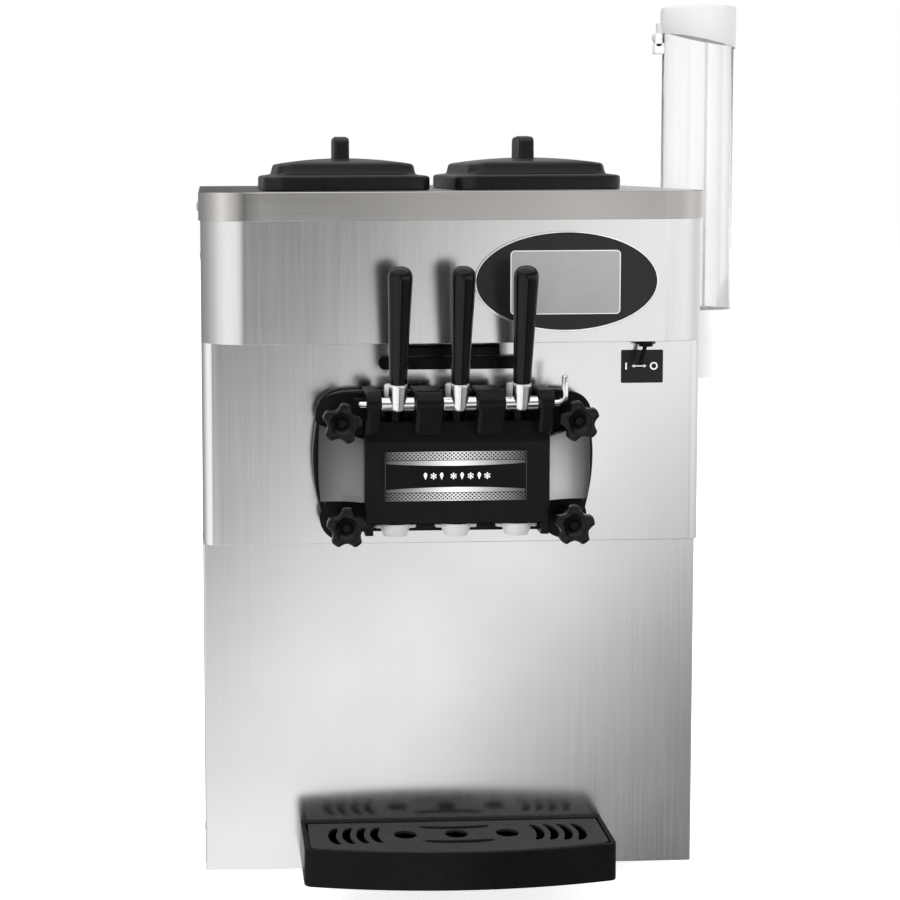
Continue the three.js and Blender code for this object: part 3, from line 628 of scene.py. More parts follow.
for side, s in (("left", -1), ("right", 1)):
    cx, cy = s * 107, 238
    R = lambda w, l, r, z, crown=None: rr3(w, l, r, z, 8, crown, cx, cy)
    tank = loft([R(30, 68, 6, 645), R(64, 102, 20, 645), R(73.5, 111.5, 24, 650), R(74.9, 112.9, 24.4, 660), R(74.9, 112.9, 24.4, 770.4), R(82.6, 120.6, 31.8, 770.4), R(83, 121, 32, 770.8), R(83, 121, 32, 771.4), R(82.6, 120.6, 31.8, 771.8),
                 R(75, 113, 24.6, 771.8), R(73.8, 111.8, 23.4, 771.2), R(73.4, 111.4, 23, 769), R(73.4, 111.4, 23, 660), R(71.5, 109.5, 22, 651), R(64, 102, 18, 646.8), R(30, 68, 6, 646.5)])
    make("hopper_tank_" + side, *tank, CAB, STEEL_I, "cabinet_steel", ["hopper_" + side], weighted=False, smooth=35)
    cr = lambda x, y: 6.0 * (1 - (x / 76) ** 2) + 1.5 * (1 - (y / 111) ** 2)
    cr0 = lambda x, y: 6.0 * max(0, (1 - (x / 76) ** 2)) + 1.5 * max(0, (1 - (y / 111) ** 2))
    cb = lambda x, y: 2.4 * max(0, 1 - (x / 93) ** 2)
    top = [R(88, 123, 21, 780), R(90.2, 125.2, 22.5, 779), R(90.4, 125.4, 22.8, 771.4), R(90.9, 125.9, 23, 770.5), R(92.4, 127.4, 24, 770.4), R(93, 128, 24, 771), R(93, 128, 24, 782.6, cb), R(92.6, 127.6, 23.8, 784.2, cb), R(91.5, 126.5, 23.2, 785.2, cb), R(89.5, 124.5, 22, 785.8, cb),
           R(80.2, 115.2, 20, 786.6, cb), R(78.6, 113.6, 19.4, 787.2, cb), R(77.8, 112.8, 19, 788.6, cb), R(76.4, 111.4, 18.4, 795.2, cr0), R(75.7, 110.7, 18, 797.0, cr0), R(74.2, 109.2, 17.2, 798.1, cr0), R(72, 107, 16, 798.5, cr0)]
    for k in range(1, 12):
        f = 1 - k / 12
        top.append(R(72 * f, 107 * f, max(16 * f, 1), 798.5, cr0))
    body = "hopper_lid_" + side
    make("lid_shell_" + side, *loft(top), body, MATT, "black_matt_plastic", ["hopper_lid_" + side], weighted=False, smooth=38)
    finp = [(cy - 31, 803)] + arc(cy - 22, 822.5, 7.6, 180, 105, 6) + [(cy, 831)] + arc(cy + 22, 822.5, 7.6, 75, 0, 6) + [(cy + 31, 803)]
    make("lid_fin_" + side, *plate(finp, [], "yz", cx - 8.7, cx + 8.7, 3.2, 5), body, MATT, "black_matt_plastic", smooth=50)

# ------------------------------------------------------------------ display, switch
DX, DZ = 116.2, 674.9
make("bezel_oval", *plate(ell(DX, DZ, 96.2, 51.4, 120), [], "xz", -1.2, 1.7, 0.3, bev0=0.6), CAB, PANEL, "black_gloss_plastic", ["display_bezel"])
make("bezel_trim", *plate(ell(DX, DZ, 97.8, 53, 120), [ell(DX, DZ, 96.2, 51.4, 120)], "xz", -1.6, 1.7, 0.2, bev0=0.3), CAB, CHROME, "polished_chrome")
make("screen_border", *plate(rrect(DX - 59.8, DX + 57.2, DZ - 34.8, DZ + 32.8, 4.5, 8), [rrect(DX - 58.8, DX + 56.2, DZ - 33.8, DZ + 31.8, 3.6, 8)], "xz", -1.75, -0.9, 0.15), CAB, BORDER, "screen_film")
make("screen_face", *plate(rrect(DX - 58.9, DX + 56.3, DZ - 33.9, DZ + 31.9, 3.7, 8), [], "xz", -1.55, -0.7, 0.1), CAB, SCREEN, "screen_film", ["display_screen"])
make("switch_plate", *plate(rrect(182.8, 228.2, 562.3, 598, 1.2, 4), [], "xz", 34.7, 35.7, 0.2), CAB, MATT, "black_matt_plastic", ["switch_label_plate"])
MK = lambda pts: [(x - 6.5, z + 0.7) for x, z in pts]
marks = [plate(MK([(193.5, 576.2), (195.3, 576.2), (195.3, 583.6), (193.5, 583.6)]), [], "xz", 34.5, 34.9, 0),
         plate(MK([(203, 579.4), (214, 579.4), (214, 580.5), (203, 580.5)]), [], "xz", 34.5, 34.9, 0),
         plate(MK([(200.4, 579.95), (203.6, 578.3), (203.6, 581.6)]), [], "xz", 34.5, 34.9, 0),
         plate(MK([(216.6, 579.95), (213.4, 581.6), (213.4, 578.3)]), [], "xz", 34.5, 34.9, 0),
         plate(MK(ell(224.6, 579.9, 4.2, 4.2, 32)), [MK(ell(224.6, 579.9, 2.7, 2.7, 32))], "xz", 34.5, 34.9, 0)]
make("switch_marks", *merge(marks), CAB, PRINTW, "white_plastic", weighted=False)
make("toggle_nut", *merge([plate([(205 + 10.4 * cos(a * pi / 3), 16 + 10.4 * sin(a * pi / 3)) for a in range(6)], [ell(205, 16, 5.4, 5.4, 32)], "xy", 606.2, 609.7, 0.4),
                           plate(ell(205, 16, 7.4, 7.4, 32), [ell(205, 16, 4.7, 4.7, 32)], "xy", 603.6, 606.4, 0.4),
                           plate(ell(205, 16, 6.0, 6.0, 32), [ell(205, 16, 4.7, 4.7, 32)], "xy", 609.6, 615, 0.3)]), CAB, GLOSS, "black_matt_plastic", ["toggle_collar"])
tv, tf = lathe([(0, -24), (1.6, -23.6), (2.7, -22.3), (3.1, -20.4), (2.9, -18), (2.2, -8), (2.0, 3.4), (0, 4)], 28)
ca, sa = cos(radians(14)), sin(radians(14))
tv = [(205 + x * ca + z * sa, 16 + y, 607 - x * sa + z * ca) for x, y, z in tv]
make("toggle_bat", tv, tf, "toggle_lever", GLOSS, "black_gloss_plastic", ["toggle_lever"], weighted=False)

# ------------------------------------------------------------------ switch bar above the head
bar = arc(HX - 73.5, 588, 5.6, 100, 180, 6) + arc(HX - 72, 586, 6, 190, 268, 6) + [(HX + 70, 580)] + arc(HX + 73, 586, 6, 275, 360, 6) + [(HX + 79, 590.6)] + arc(HX + 76, 590.6, 3, 0, 90, 4)
make("switch_bar", *plate(bar, [], "xz", 24, 35.7, 1.2), CAB, GLOSS, "black_matt_plastic", ["draw_switch_bracket"])
make("switch_bar_screws", *merge([lathe([(0, 1.2), (1.4, 1.2), (1.6, 0), (4.2, 0.4), (4.4, 1.6), (4.4, 3), (0, 3)], 24, (HX + x, 21.6, 586.5), "y") for x in (-41, 44)]), CAB, GLOSS, "black_matt_plastic")
pad = arc(29.5, 602.4, 3.6, 180, 60, 8) + [(34, 606.2), (34, 594.6), (26, 594.6)]
pv, pf = plate(pad, [], "yz", HX - 55.2, HX + 52.2, 0.8)
make("switch_paddle_bar", pv, pf, "draw_switch_paddle", GLOSS, "black_matt_plastic", ["draw_switch_paddle"])

# ------------------------------------------------------------------ dispensing head
def smooth_closed(pts, n):
    """Catmull-Rom through a closed list of points."""
    out, m = [], len(pts)
    for i in range(m):
        p0, p1, p2, p3 = (Vector(pts[(i + k) % m]) for k in (-1, 0, 1, 2))
        for j in range(n):
            t = j / n
            q = 0.5 * ((2 * p1) + (-p0 + p2) * t + (2 * p0 - 5 * p1 + 4 * p2 - p3) * t * t + (-p0 + 3 * p1 - 3 * p2 + p3) * t ** 3)
            out.append((q.x, q.y))
    return out


half = [(60, 559), (110, 559), (127, 556), (138, 548.5), (144, 536), (148.6, 510), (150, 488), (148.2, 462), (143.5, 437), (138.8, 420.5), (130, 411.6), (114, 408.5), (60, 408.4)]
full = smooth_closed([(HX + x, z) for x, z in half] + [(HX - x, z) for x, z in half[::-1]], 4)
ins = clean(full)
if area2(ins) < 0:
    ins = ins[::-1]
caps_cut = [lathe([(0, 0), (23.4, 0), (23.4, 21.9), (0, 21.9)], 48, (HX + x, -12, 400)) for x in (-SH, 0, SH)]
make("head_back_plate", *cut(plate(ins, [], "xz", 8, 28, 0.6, bev0=2.2), caps_cut), CAB, HEADB, "black_gloss_plastic", ["head_door"], weighted=True)
knobs = [("top_left", -123, 533), ("top_right", 123, 533), ("bottom_left", -118.5, 424), ("bottom_right", 118.5, 424)]
front_plate = plate(inset(ins, 5.5), [], "xz", -2, 10, 0.2, bev0=3.6, steps=5)
kcut = [lathe([(0, 0), (24.6, 0), (24.6, 26), (0, 26)], 56, (HX + x, -20, z), "y") for _, x, z in knobs]
make("head_front_plate", *cut(front_plate, kcut + caps_cut), CAB, HEADB, "black_gloss_plastic", weighted=True)
make("head_knob_wells", *merge([lathe([(0, 5.7), (24.5, 5.7), (24.5, 6.4), (0, 6.4)], 48, (HX + x, 0, z), "y") for _, x, z in knobs]), CAB, DARK, "black_gloss_plastic")
# glossy wings between the knobs: slope back from the body to the rim
for side, s in (("left", -1), ("right", 1)):
    rings = []
    for k in range(17):
        u = k / 16
        ring = []
        for j in range(17):
            t = j / 16
            zt, zb = 510 + 15 * t, 443 + 1.5 * sin(pi * t)
            z = zb + (zt - zb) * u
            xo = 141.4 + 3.4 * sin(pi * (z - 400) / 160) - 0.05 * max(0, 470 - z)
            x = 96 + (xo - 96) * t
            e = 1.6 if k in (0, 16) else 0.35 if k in (1, 15) else 0.0
            ring.append((HX + s * x, -13.0 + 10.6 * t ** 2.4 + e, z))
        ring += [(ring[-1][0], 1.5, ring[-1][2]), (ring[0][0], 1.5, ring[0][2])]
        rings.append(ring)
    make("head_wing_" + side, *loft(rings), CAB, HEADW, "black_gloss_plastic", smooth=35, weighted=True)
# central body with three bores, sloped shoulder and the label face
body_prof = [(4, 422), (-26.5, 422), (-28, 423.5), (-28, 508)] + arc(-24.0, 508.5, 4.0, 176, 166, 3) + [(-24.9, 527.6), (-23.9, 530.2), (-21.5, 531), (4, 531)]
bores = [lathe([(0, 0), (10.5, 0), (10.5, 180), (0, 180)], 40, (HX + x, -12, 400)) for x in (-SH, 0, SH)]
make("head_body", *cut(plate(body_prof, [], "yz", HX - 97.5, HX + 97.5, 1.6, 4), bores), CAB, HEADB, "black_gloss_plastic", weighted=True)
def lug_ring(x, raise_, d):
    b = 517.2 + raise_ + d
    p = [(4, 565 - d)] + arc(-42, 551, 13.8 - d, 90, 206, 18)
    p += arc(-34.6, b + 6.4 - d, 6.4 - d * 0.5, 204, 268, 7) + [(4, b)]
    return [(x, y, z) for y, z in p]


def lug(a, b, r=5.0):
    xs = [(0, 1.5), (0.22, 0.86), (0.75, 0.26), (1.5, 0.0), (2.4, 0), (3.6, 0), (r, 0)]
    half_ = [(t, d, r - sqrt(max(0.0, r * r - (r - t) ** 2))) for t, d in xs]
    rings = [lug_ring(a + t, q, d) for t, d, q in half_] + [lug_ring(b - t, q, d) for t, d, q in half_[::-1]]
    return loft(rings)


rodcut = [lathe([(0, -112), (3.7, -112), (3.7, 112), (0, 112)], 28, (HX, -42, 551), "x")]
for i, (a, b) in enumerate(((-97.5, -82.7), (-46.3, -18.3), (18.3, 46.3), (82.7, 97.5))):
    make("head_lug_%d" % (i + 1), *cut(lug(HX + a, HX + b), rodcut), CAB, HEADB, "black_gloss_plastic", weighted=True)
make("head_top_wall", *plate([(HX - 84, 519), (HX + 84, 519), (HX + 84, 558), (HX - 84, 558)], [], "xz", 1.2, 9, 0.8), CAB, DARK, "black_gloss_plastic")
legs = [plate([(HX + s * 88.5, 410), (HX + s * 97, 410), (HX + s * 97, 425), (HX + s * 88.5, 425)], [], "xz", -27, 2, 1.0) for s in (-1, 1)]
make("head_legs", *merge(legs), CAB, HEADB, "black_gloss_plastic")
make("head_spouts", *merge([lathe([(10.5, 414), (12.0, 414), (12.4, 414.4), (12.4, 422.5), (10.5, 422.5)], 48, (HX + x, -12, 0), closed=True) for x in (-SH, 0, SH)]), CAB, HEADB, "black_gloss_plastic", weighted=False)
fl, fh = NODES["head_mount_flange"], None

# badge: generic pictograms of cones and snowflakes in place of words
BX0, BX1, BZ0, BZ1 = HX - 77.1, HX + 73.1, 446.8, 499.6
BC = (BX0 + BX1) / 2
make("badge_back", *plate(rrect(BX0, BX1, BZ0, BZ1, 1.2, 4), [], "xz", -29.3, -28.3, 0.2), CAB, GLOSS, "badge_foil", ["badge_plate"])
make("badge_border", *plate(rrect(BX0 + 0.4, BX1 - 0.4, BZ0 + 0.4, BZ1 - 0.4, 1, 4), [rrect(BX0 + 1.1, BX1 - 1.1, BZ0 + 1.1, BZ1 - 1.1, 0.6, 4)], "xz", -29.55, -29.2, 0.05), CAB, FOIL, "badge_foil", weighted=False)


def band(z0a, z0b, z1a, z1b, n=20):
    """A band whose edges bow between the ends (a) and the middle (b)."""
    lo, hi = [], []
    for i in range(n + 1):
        u = -1 + 2 * i / n
        w = 1 - u * u
        x = BC + u * 73.2
        lo.append((x, z0a + (z0b - z0a) * w))
        hi.append((x, z1a + (z1b - z1a) * w))
    return lo + hi[::-1]


make("badge_hatch_top", *plate(band(490.4, 490.4, 498.8, 498.8), [], "xz", -29.62, -29.2, 0), CAB, HATCH, "badge_foil", weighted=False)
make("badge_hatch_bottom", *plate(band(447.7, 447.7, 455.6, 455.6), [], "xz", -29.62, -29.2, 0), CAB, HATCH, "badge_foil", weighted=False)
make("badge_silver_top", *plate(band(486.6, 484.2, 489.7, 489.7), [], "xz", -29.62, -29.2, 0), CAB, FOIL, "badge_foil", weighted=False)
make("badge_silver_bottom", *plate(band(456.2, 456.2, 459.2, 461.7), [], "xz", -29.62, -29.2, 0), CAB, FOIL, "badge_foil", weighted=False)


def icon_cone(x, z, s=1.0):
    return [plate([(x - 1.9 * s, z + 0.4 * s), (x, z - 4.2 * s), (x + 1.9 * s, z + 0.4 * s)], [], "xz", -29.75, -29.2, 0),
            plate([(x - 2.4 * s, z + 0.9 * s), (x + 2.4 * s, z + 0.9 * s), (x + 1.7 * s, z + 2.1 * s), (x + 1.5 * s, z + 2.7 * s), (x + 0.9 * s, z + 3.5 * s), (x, z + 4.4 * s), (x - 0.9 * s, z + 3.5 * s), (x - 1.5 * s, z + 2.7 * s), (x - 1.7 * s, z + 2.1 * s)], [], "xz", -29.75, -29.2, 0)]


def icon_flake(x, z, s=1.0):
    out = []
    for k in range(3):
        a = radians(90 + 60 * k)
        dx, dz, nx, nz = cos(a) * 3.8 * s, sin(a) * 3.8 * s, -sin(a) * 0.42 * s, cos(a) * 0.42 * s
        out.append(plate([(x - dx + nx, z - dz + nz), (x - dx - nx, z - dz - nz), (x + dx - nx, z + dz - nz), (x + dx + nx, z + dz + nz)], [], "xz", -29.75 + 0.01 * k, -29.2, 0))
        for e in (-1, 1):
            for t in (-1, 1):
                b = a + radians(50 * t)
                px, pz = x + e * cos(a) * 2.2 * s, z + e * sin(a) * 2.2 * s
                qx, qz = px + e * cos(b) * 1.3 * s, pz + e * sin(b) * 1.3 * s
                mx, mz = -sin(b) * 0.28 * s, cos(b) * 0.28 * s
                out.append(plate([(px + mx, pz + mz), (px - mx, pz - mz), (qx - mx, qz - mz), (qx + mx, qz + mz)], [], "xz", -29.72 + 0.01 * t, -29.2, 0))
    return out


icons = []
for i, x in enumerate([-31, -22.5, -14, -1.5, 7.5, 16.5, 25.5, 34]):
    icons += icon_cone(BC + x - 1, 473.4, 0.92) if i % 2 == 0 else icon_flake(BC + x - 1, 473.4, 0.92)
make("badge_pictograms", *merge(icons), CAB, PRINTW, "badge_foil", weighted=False)

# ------------------------------------------------------------------ star knobs
def star(phase, n=9):
    ctrl = []
    for k in range(5):
        for r, a in ((20.3, -14), (21.0, -9.5), (21.2, 0), (21.0, 9.5), (20.3, 14), (17.8, 20), (16.1, 28), (15.4, 36), (16.1, 44), (17.8, 52)):
            t = radians(a + phase + 72 * k)
            ctrl.append((r * cos(t), r * sin(t)))
    return smooth_closed(ctrl, 3)


PH = {"top_left": 7, "top_right": 29, "bottom_left": 17, "bottom_right": 17}
for n, kx, kz in knobs:
    ol = [(HX + kx + x, kz + z) for x, z in star(PH[n])]
    parts = [plate(ol, [ell(HX + kx, kz, 11.2, 11.2, 48)], "xz", -62, -47.2, 2.2, 5, bev0=3.0),
             lathe([(11.3, -58.5), (9.6, -57.4), (7.4, -56.6), (5.2, -56.4), (4.6, -56.0), (4.6, -49), (0, -49), (0, -48), (11.3, -48)], 48, (HX + kx, 0, kz), "y") if False else
             lathe([(0, -53.2), (3.6, -53.2), (4.2, -53.9), (7.4, -57.4), (11.3, -60.9), (11.3, -48), (0, -48)], 48, (HX + kx, 0, kz), "y"),
             lathe([(4.7, -49), (10.2, -49), (11, -46), (11, 4.6), (10.4, 5.3), (4.7, 5.3)], 48, (HX + kx, 0, kz), "y", closed=True)]
    make("knob_eye_" + n, *lathe([(0, -56.0), (4.0, -56.0), (4.3, -55.6), (0, -55.6)], 32, (HX + kx, 0, kz), "y"), "star_knob_" + n, DARK, "black_gloss_plastic")
    make("knob_" + n, *merge(parts), "star_knob_" + n, KNOBM, "black_gloss_plastic", ["star_knob_" + n], smooth=42)

# ------------------------------------------------------------------ pivot rod
def sweep(points, r, n=20):
    P = [Vector(p) for p in points]
    rings = []
    for i, p in enumerate(P):
        t = ((P[min(i + 1, len(P) - 1)] - P[max(i - 1, 0)])).normalized()
        up = Vector((0, 1, 0))
        b = t.cross(up).normalized()
        rad = r if not isinstance(r, (list, tuple)) else r[i]
        rings.append([tuple(p + rad * (cos(2 * pi * k / n) * up + sin(2 * pi * k / n) * b)) for k in range(n)])
    return loft(rings)


rod = [(-105, 551), (-104.6, 551), (-103.6, 551), (-60, 551), (0, 551), (60, 551), (101, 551)] + arc(102, 559, 8, -90, 0, 10)[1:] + [(110, 578), (110, 579.5), (110, 580)]
rr = [1.2, 2.5, 3.3] + [3.3] * (len(rod) - 6) + [3.3, 2.6, 1.2]
rr = rr[:len(rod)]
make("pivot_rod_bar", *sweep([(HX + x, -42, z) for x, z in rod], rr, 24), "pivot_rod", CHROME, "polished_chrome", ["pivot_rod"], weighted=False, smooth=60)

# ------------------------------------------------------------------ draw handles, plungers, nozzle caps
lean = radians(12)
c25, s25 = cos(radians(25)), sin(radians(25))
for side, x in (("left", -SH), ("centre", 0), ("right", SH)):
    cx = HX + x
    grip = lathe([(4.6, 23.3), (8.4, 23.3), (9.0, 23.9), (9.3, 25.4), (9.6, 36), (10.3, 60), (11.1, 85), (11.9, 108), (12.5, 126), (12.75, 133), (12.75, 136.5), (12.3, 139.6), (11.2, 142.4), (9.2, 144.8), (6.4, 146.4), (3.2, 147.2), (0, 147.4)][1:] , 56, (cx, -42, 551), "z", lean)
    gv, gf = lathe([(0, 23.3), (8.4, 23.3), (9.0, 23.9), (9.3, 25.4), (9.6, 36), (10.3, 60), (11.1, 85), (11.9, 108), (12.5, 126), (12.75, 133), (12.75, 136.5), (12.3, 139.6), (11.2, 142.4), (9.2, 144.8), (6.4, 146.4), (3.2, 147.2), (0, 147.4)], 56, (0, 0, 0), "z", lean)
    make("grip_" + side, [(cx + a, -42 + b, 551 + c) for a, b, c in gv], gf, "handle_" + side, GRIP, "black_gloss_plastic", ["handle_grip_" + side], weighted=False, smooth=50)
    fv, ff = lathe([(0, -7.8), (4.2, -7.5), (7.0, -6.3), (8.8, -4.2), (9.6, -1.2), (9.8, 2.5), (9.7, 8), (9.55, 14), (9.5, 19), (9.5, 21.6), (9.0, 22.6), (8.3, 23.0), (0, 23.0)], 48, (0, 0, 0), "z", lean)
    fv = [(cx + a, -42 + b, 551 + c) for a, b, c in fv]
    barrel = lathe([(3.4, -17.7), (6.6, -17.7), (7.3, -17.3), (7.6, -16.4), (7.6, 16.4), (7.3, 17.3), (6.6, 17.7), (3.4, 17.7)], 48, (cx, -42, 551), "x", closed=True)
    arms = []
    for e in (-1, 1):
        a0, a1 = (cx + 4.7, cx + 9.1) if e > 0 else (cx - 9.1, cx - 4.7)
        L = 33.1
        prof = [(-42 + s25 * 3.2 + c25 * 6, 551 + c25 * 3.2 - s25 * 6), (-42 + c25 * L + s25 * 3.0, 551 - s25 * L + c25 * 3.0)] + \
               [(-42 + c25 * (L + 3.0 * sin(t * pi / 8)) + s25 * 3.0 * cos(t * pi / 8), 551 - s25 * (L + 3.0 * sin(t * pi / 8)) + c25 * 3.0 * cos(t * pi / 8)) for t in range(1, 8)] + \
               [(-42 + c25 * L - s25 * 3.0, 551 - s25 * L - c25 * 3.0), (-42 - s25 * 3.2 + c25 * 6, 551 - c25 * 3.2 - s25 * 6)]
        arms.append(plate(prof, [], "yz", a0, a1, 0.6))
    make("handle_ferrule_" + side, fv, ff, "handle_" + side, SATIN, "polished_chrome", smooth=55)
    make("handle_yoke_" + side, *merge([barrel] + arms), "handle_" + side, CHROME, "polished_chrome", ["handle_shaft_" + side], smooth=45)
    neck = lambda zz: zz
    pl = cut(lathe([(0, 413), (8.8, 413), (9.9, 414.2), (9.9, 547.6), (0, 547.6)], 48, (cx, -12, 0)),
             [plate(rrect(cx - 20, cx - 4.2, 528.8, 546.3, 1.5, 4), [], "xz", -34, 10, 0), plate(rrect(cx + 4.2, cx + 20, 528.8, 546.3, 1.5, 4), [], "xz", -34, 10, 0)])
    make("plunger_rod_" + side, *pl, "plunger_" + side, GLOSS, "black_gloss_plastic", ["plunger_" + side], weighted=True)
    make("plunger_top_" + side, *lathe([(0, 547), (11.0, 547), (11.4, 547.5), (11.4, 566.4), (10.8, 568.2), (9.4, 569), (3.2, 569), (2.9, 568.4), (2.9, 561.6), (0, 561.6)], 48, (cx, -12, 0)), "plunger_" + side, PLUNG, "white_plastic")
    st = [((3.4 if i % 2 else 6.2) * cos(i * pi / 6), (3.4 if i % 2 else 6.2) * sin(i * pi / 6)) for i in range(12)]
    capp = [plate(ell(cx, -12, 12.6, 12.6, 56), [[(cx + a, -12 + b) for a, b in st]], "xy", 408, 412, 0.9, 4),
            lathe([(12.0, 409.5), (13.0, 410.2), (14.0, 412.5), (15.2, 415.5), (16.0, 418.5), (16.2, 420.6), (15.8, 421.4), (13.0, 421.4), (12.9, 412), (12.0, 411)], 56, (cx, -12, 0), closed=True)]
    for e in (-1, 1):
        ear = [(cx + e * 13.5, -17.5), (cx + e * 18.5, -16.6)] + [(cx + e * (17.5 + 4.8 * cos(radians(t))), -12 + 4.6 * sin(radians(t))) for t in range(-75, 76, 15)] + [(cx + e * 18.5, -7.4), (cx + e * 13.5, -6.5)]
        capp.append(plate(ear, [], "xy", 416.4, 420.2, 1.0, 3))
    make("nozzle_" + side, *merge(capp), "nozzle_cap_" + side, CAP_WHITE_SHADED, "white_plastic", ["nozzle_cap_" + side], smooth=42)

# ------------------------------------------------------------------ drip tray and grate
TY = 53.7


def tray(ins_, n=36, rc=10):
    """Outline of the tray seen from above: straight back, rounded front corners and a bowed front."""
    w, d, bow = 167 - ins_, 92.1 - ins_, 18.5
    r = max(rc - ins_, 3)
    pts = [(-w, TY - ins_)]
    xs = w - r
    pts += [(-w + r - r * cos(t * pi / 12), TY - d + r - r * sin(t * pi / 12)) for t in range(0, 6)]
    for i in range(n + 1):
        u = -1 + 2 * i / n
        pts.append((u * xs, TY - d - bow * (1 - u * u)))
    pts += [(w - r + r * cos(t * pi / 12), TY - d + r - r * sin(t * pi / 12)) for t in range(5, -1, -1)]
    pts.append((w, TY - ins_))
    return pts


hang = [plate(rrect(-90.6, 90.6, 47.4, 66.6, 1, 3), [], "xz", TY - 2.6, TY + 6, 0)]
TX = lambda vf: ([(x + 1.5, y, z) for x, y, z in vf[0]], vf[1])
make("tray_bowl", *TX(merge([cut(plate(tray(0), [tray(5.2)], "xy", 36.3, 77, 1.3, 4, bev0=0.9), hang), plate(tray(4.6), [], "xy", 36.6, 42.0, 0.2), plate(tray(5.0), [tray(11)], "xy", 66, 72.6, 0.3)])),
     "drip_tray", GLOSS, "black_gloss_plastic", ["drip_tray"])


def bowed(cx, cy, ln, wd, bow, n=14, vertical=False):
    top, bot = [], []
    for i in range(n + 1):
        u = -cos(pi * i / n)
        x, y = cx + u * ln / 2, cy + bow * (1 - u * u)
        h = wd / 2 * sqrt(max(0.0, 1 - abs(u) ** 8)) + 0.02
        top.append((x, y + h)); bot.append((x, y - h))
    p = bot + top[::-1]
    return [(b, a) for a, b in p] if vertical else p


gh = []
for k in range(4):
    ln = 53 - k * 1.2
    gh.append([(x, y + TY) for x, y in bowed(-48 + k * 0.5, -128.5 + k * 15.2, ln, 8.6, -6.5, vertical=True)])
    gh.append([(x, y + TY) for x, y in bowed(-48 + k * 0.5, 130.4 - k * 15.2, ln, 8.6, 6.5, vertical=True)])
gh.append([(x, y + TY) for x, y in bowed(0, -23.5, 78, 9.0, -4)])
gh.append([(x, y + TY) for x, y in bowed(1, -68, 76, 9.6, -4)])
for x in (-55.5, 0, 55.5):
    gh.append(ell(x, TY - 47, 12.4, 12.8, 40))
grid = [(x, y) for x, y in tray(7.2, rc=16)]
grid[0] = (grid[0][0], grid[0][1]); grid[-1] = (grid[-1][0], grid[-1][1])
make("tray_grate", *TX(plate(grid, gh, "xy", 72.9, 76.4, 0.7, 3, bev0=0.3)), "drip_grate", GRATE, "black_gloss_plastic", ["drip_grate"])

# ------------------------------------------------------------------ cone dispenser
CX, CY = 314.3, 245
make("cone_tube_wall", *merge([lathe([(39.1, 628), (41.0, 628), (41.1, 628.6), (41.1, 954.2), (40.8, 954.9), (39.4, 954.9), (39.1, 954.2)], 72, (CX, CY, 0), closed=True),
                               plate(rrect(CX - 1.4, CX + 1.4, 629, 948, 1, 3), [], "xz", CY - 41.8, CY - 40.4, 0.4)]), CAB, CLEAR, "clear_plastic", ["cone_tube"], weighted=False, smooth=50)
base = lathe([(36.5, 548.2), (42.8, 548.2), (43.5, 549.2), (43.5, 625.2), (43.0, 627.0), (42.2, 627.7), (36.5, 627.7)], 72, (CX, CY, 0), closed=True)
brk = plate(rrect(CY - 18, CY + 18, 560, 616, 3, 5), [], "yz", 270.4, 277.0, 0.8)
make("cone_hinge_bracket", *merge([plate(rrect(262, 272.9, 926, 938, 1.5, 3), [], "xz", CY - 9, CY + 9, 0.6),
                                   plate(rrect(262.4, 270.2, 934, 949.5, 3, 5), [], "xz", CY - 9, CY - 6.6, 0.5), plate(rrect(262.4, 270.2, 934, 949.5, 3, 5), [], "xz", CY + 6.6, CY + 9, 0.5),
                                   lathe([(0, -9.6), (1.6, -9.6), (2.0, -9.2), (2.0, 9.2), (1.6, 9.6), (0, 9.6)], 20, (266, CY, 945), "y")]), CAB, WHITE, "white_plastic", ["cone_lid_hinge"])
fing = []
for k in range(3):
    a = radians(90 + 120 * k)
    fx, fy = CX + 30 * cos(a), CY + 30 * sin(a)
    v, f = plate(rrect(-9.5, 9.5, -4, 7, 2, 4), [], "xy", 550, 551.6, 0.3)
    fing.append(([(fx + x * -sin(a) + y * cos(a), fy + x * cos(a) + y * sin(a), z) for x, y, z in v], f))
make("cone_base_ring", *merge([base, brk] + fing), CAB, WHITE, "white_plastic", ["cone_base"], smooth=45)
lidr = []
nn = 72
for r, kind in ((39.6, "i1"), (41.7, "i2"), (41.8, "i3"), (42.2, "b0"), (43.0, "b1"), (43.4, "b2"), (43.4, "t0"), (43.1, "t1"), (42.2, "t2"), (40.6, "t3"), (34, "t4"), (18, "t5")):
    ring = []
    for i in range(nn):
        a = 2 * pi * i / nn
        x, y = r * cos(a), r * sin(a)
        zs = 940.3 - 0.2117 * x * 43.4 / r
        z = {"i1": 977.2, "i2": 976.4, "i3": zs + 1.2, "b0": zs + 0.1, "b1": zs + 0.1, "b2": zs + 0.8, "t0": 976.6, "t1": 978.3, "t2": 979.4, "t3": 979.9, "t4": 979.2, "t5": 979.0}[kind]
        ring.append((CX + x, CY + y, z))
    lidr.append(ring)
inner0 = [[(CX + (p[0] - CX) * 0.45, CY + (p[1] - CY) * 0.45, 977.3) for p in lidr[0]]]
lugv = plate(arc(266, 945, 5.3, 90, 360, 16) + [(271.2, 950), (271.6, 961), (265.5, 961)], [ell(266, 945, 2.3, 2.3, 20)], "xz", CY - 5.9, CY + 5.9, 0.4)
make("cone_lid_cap", *merge([loft(inner0 + lidr), lugv]), "cone_lid", FROST, "frosted_plastic", ["cone_lid"], weighted=False, smooth=40)

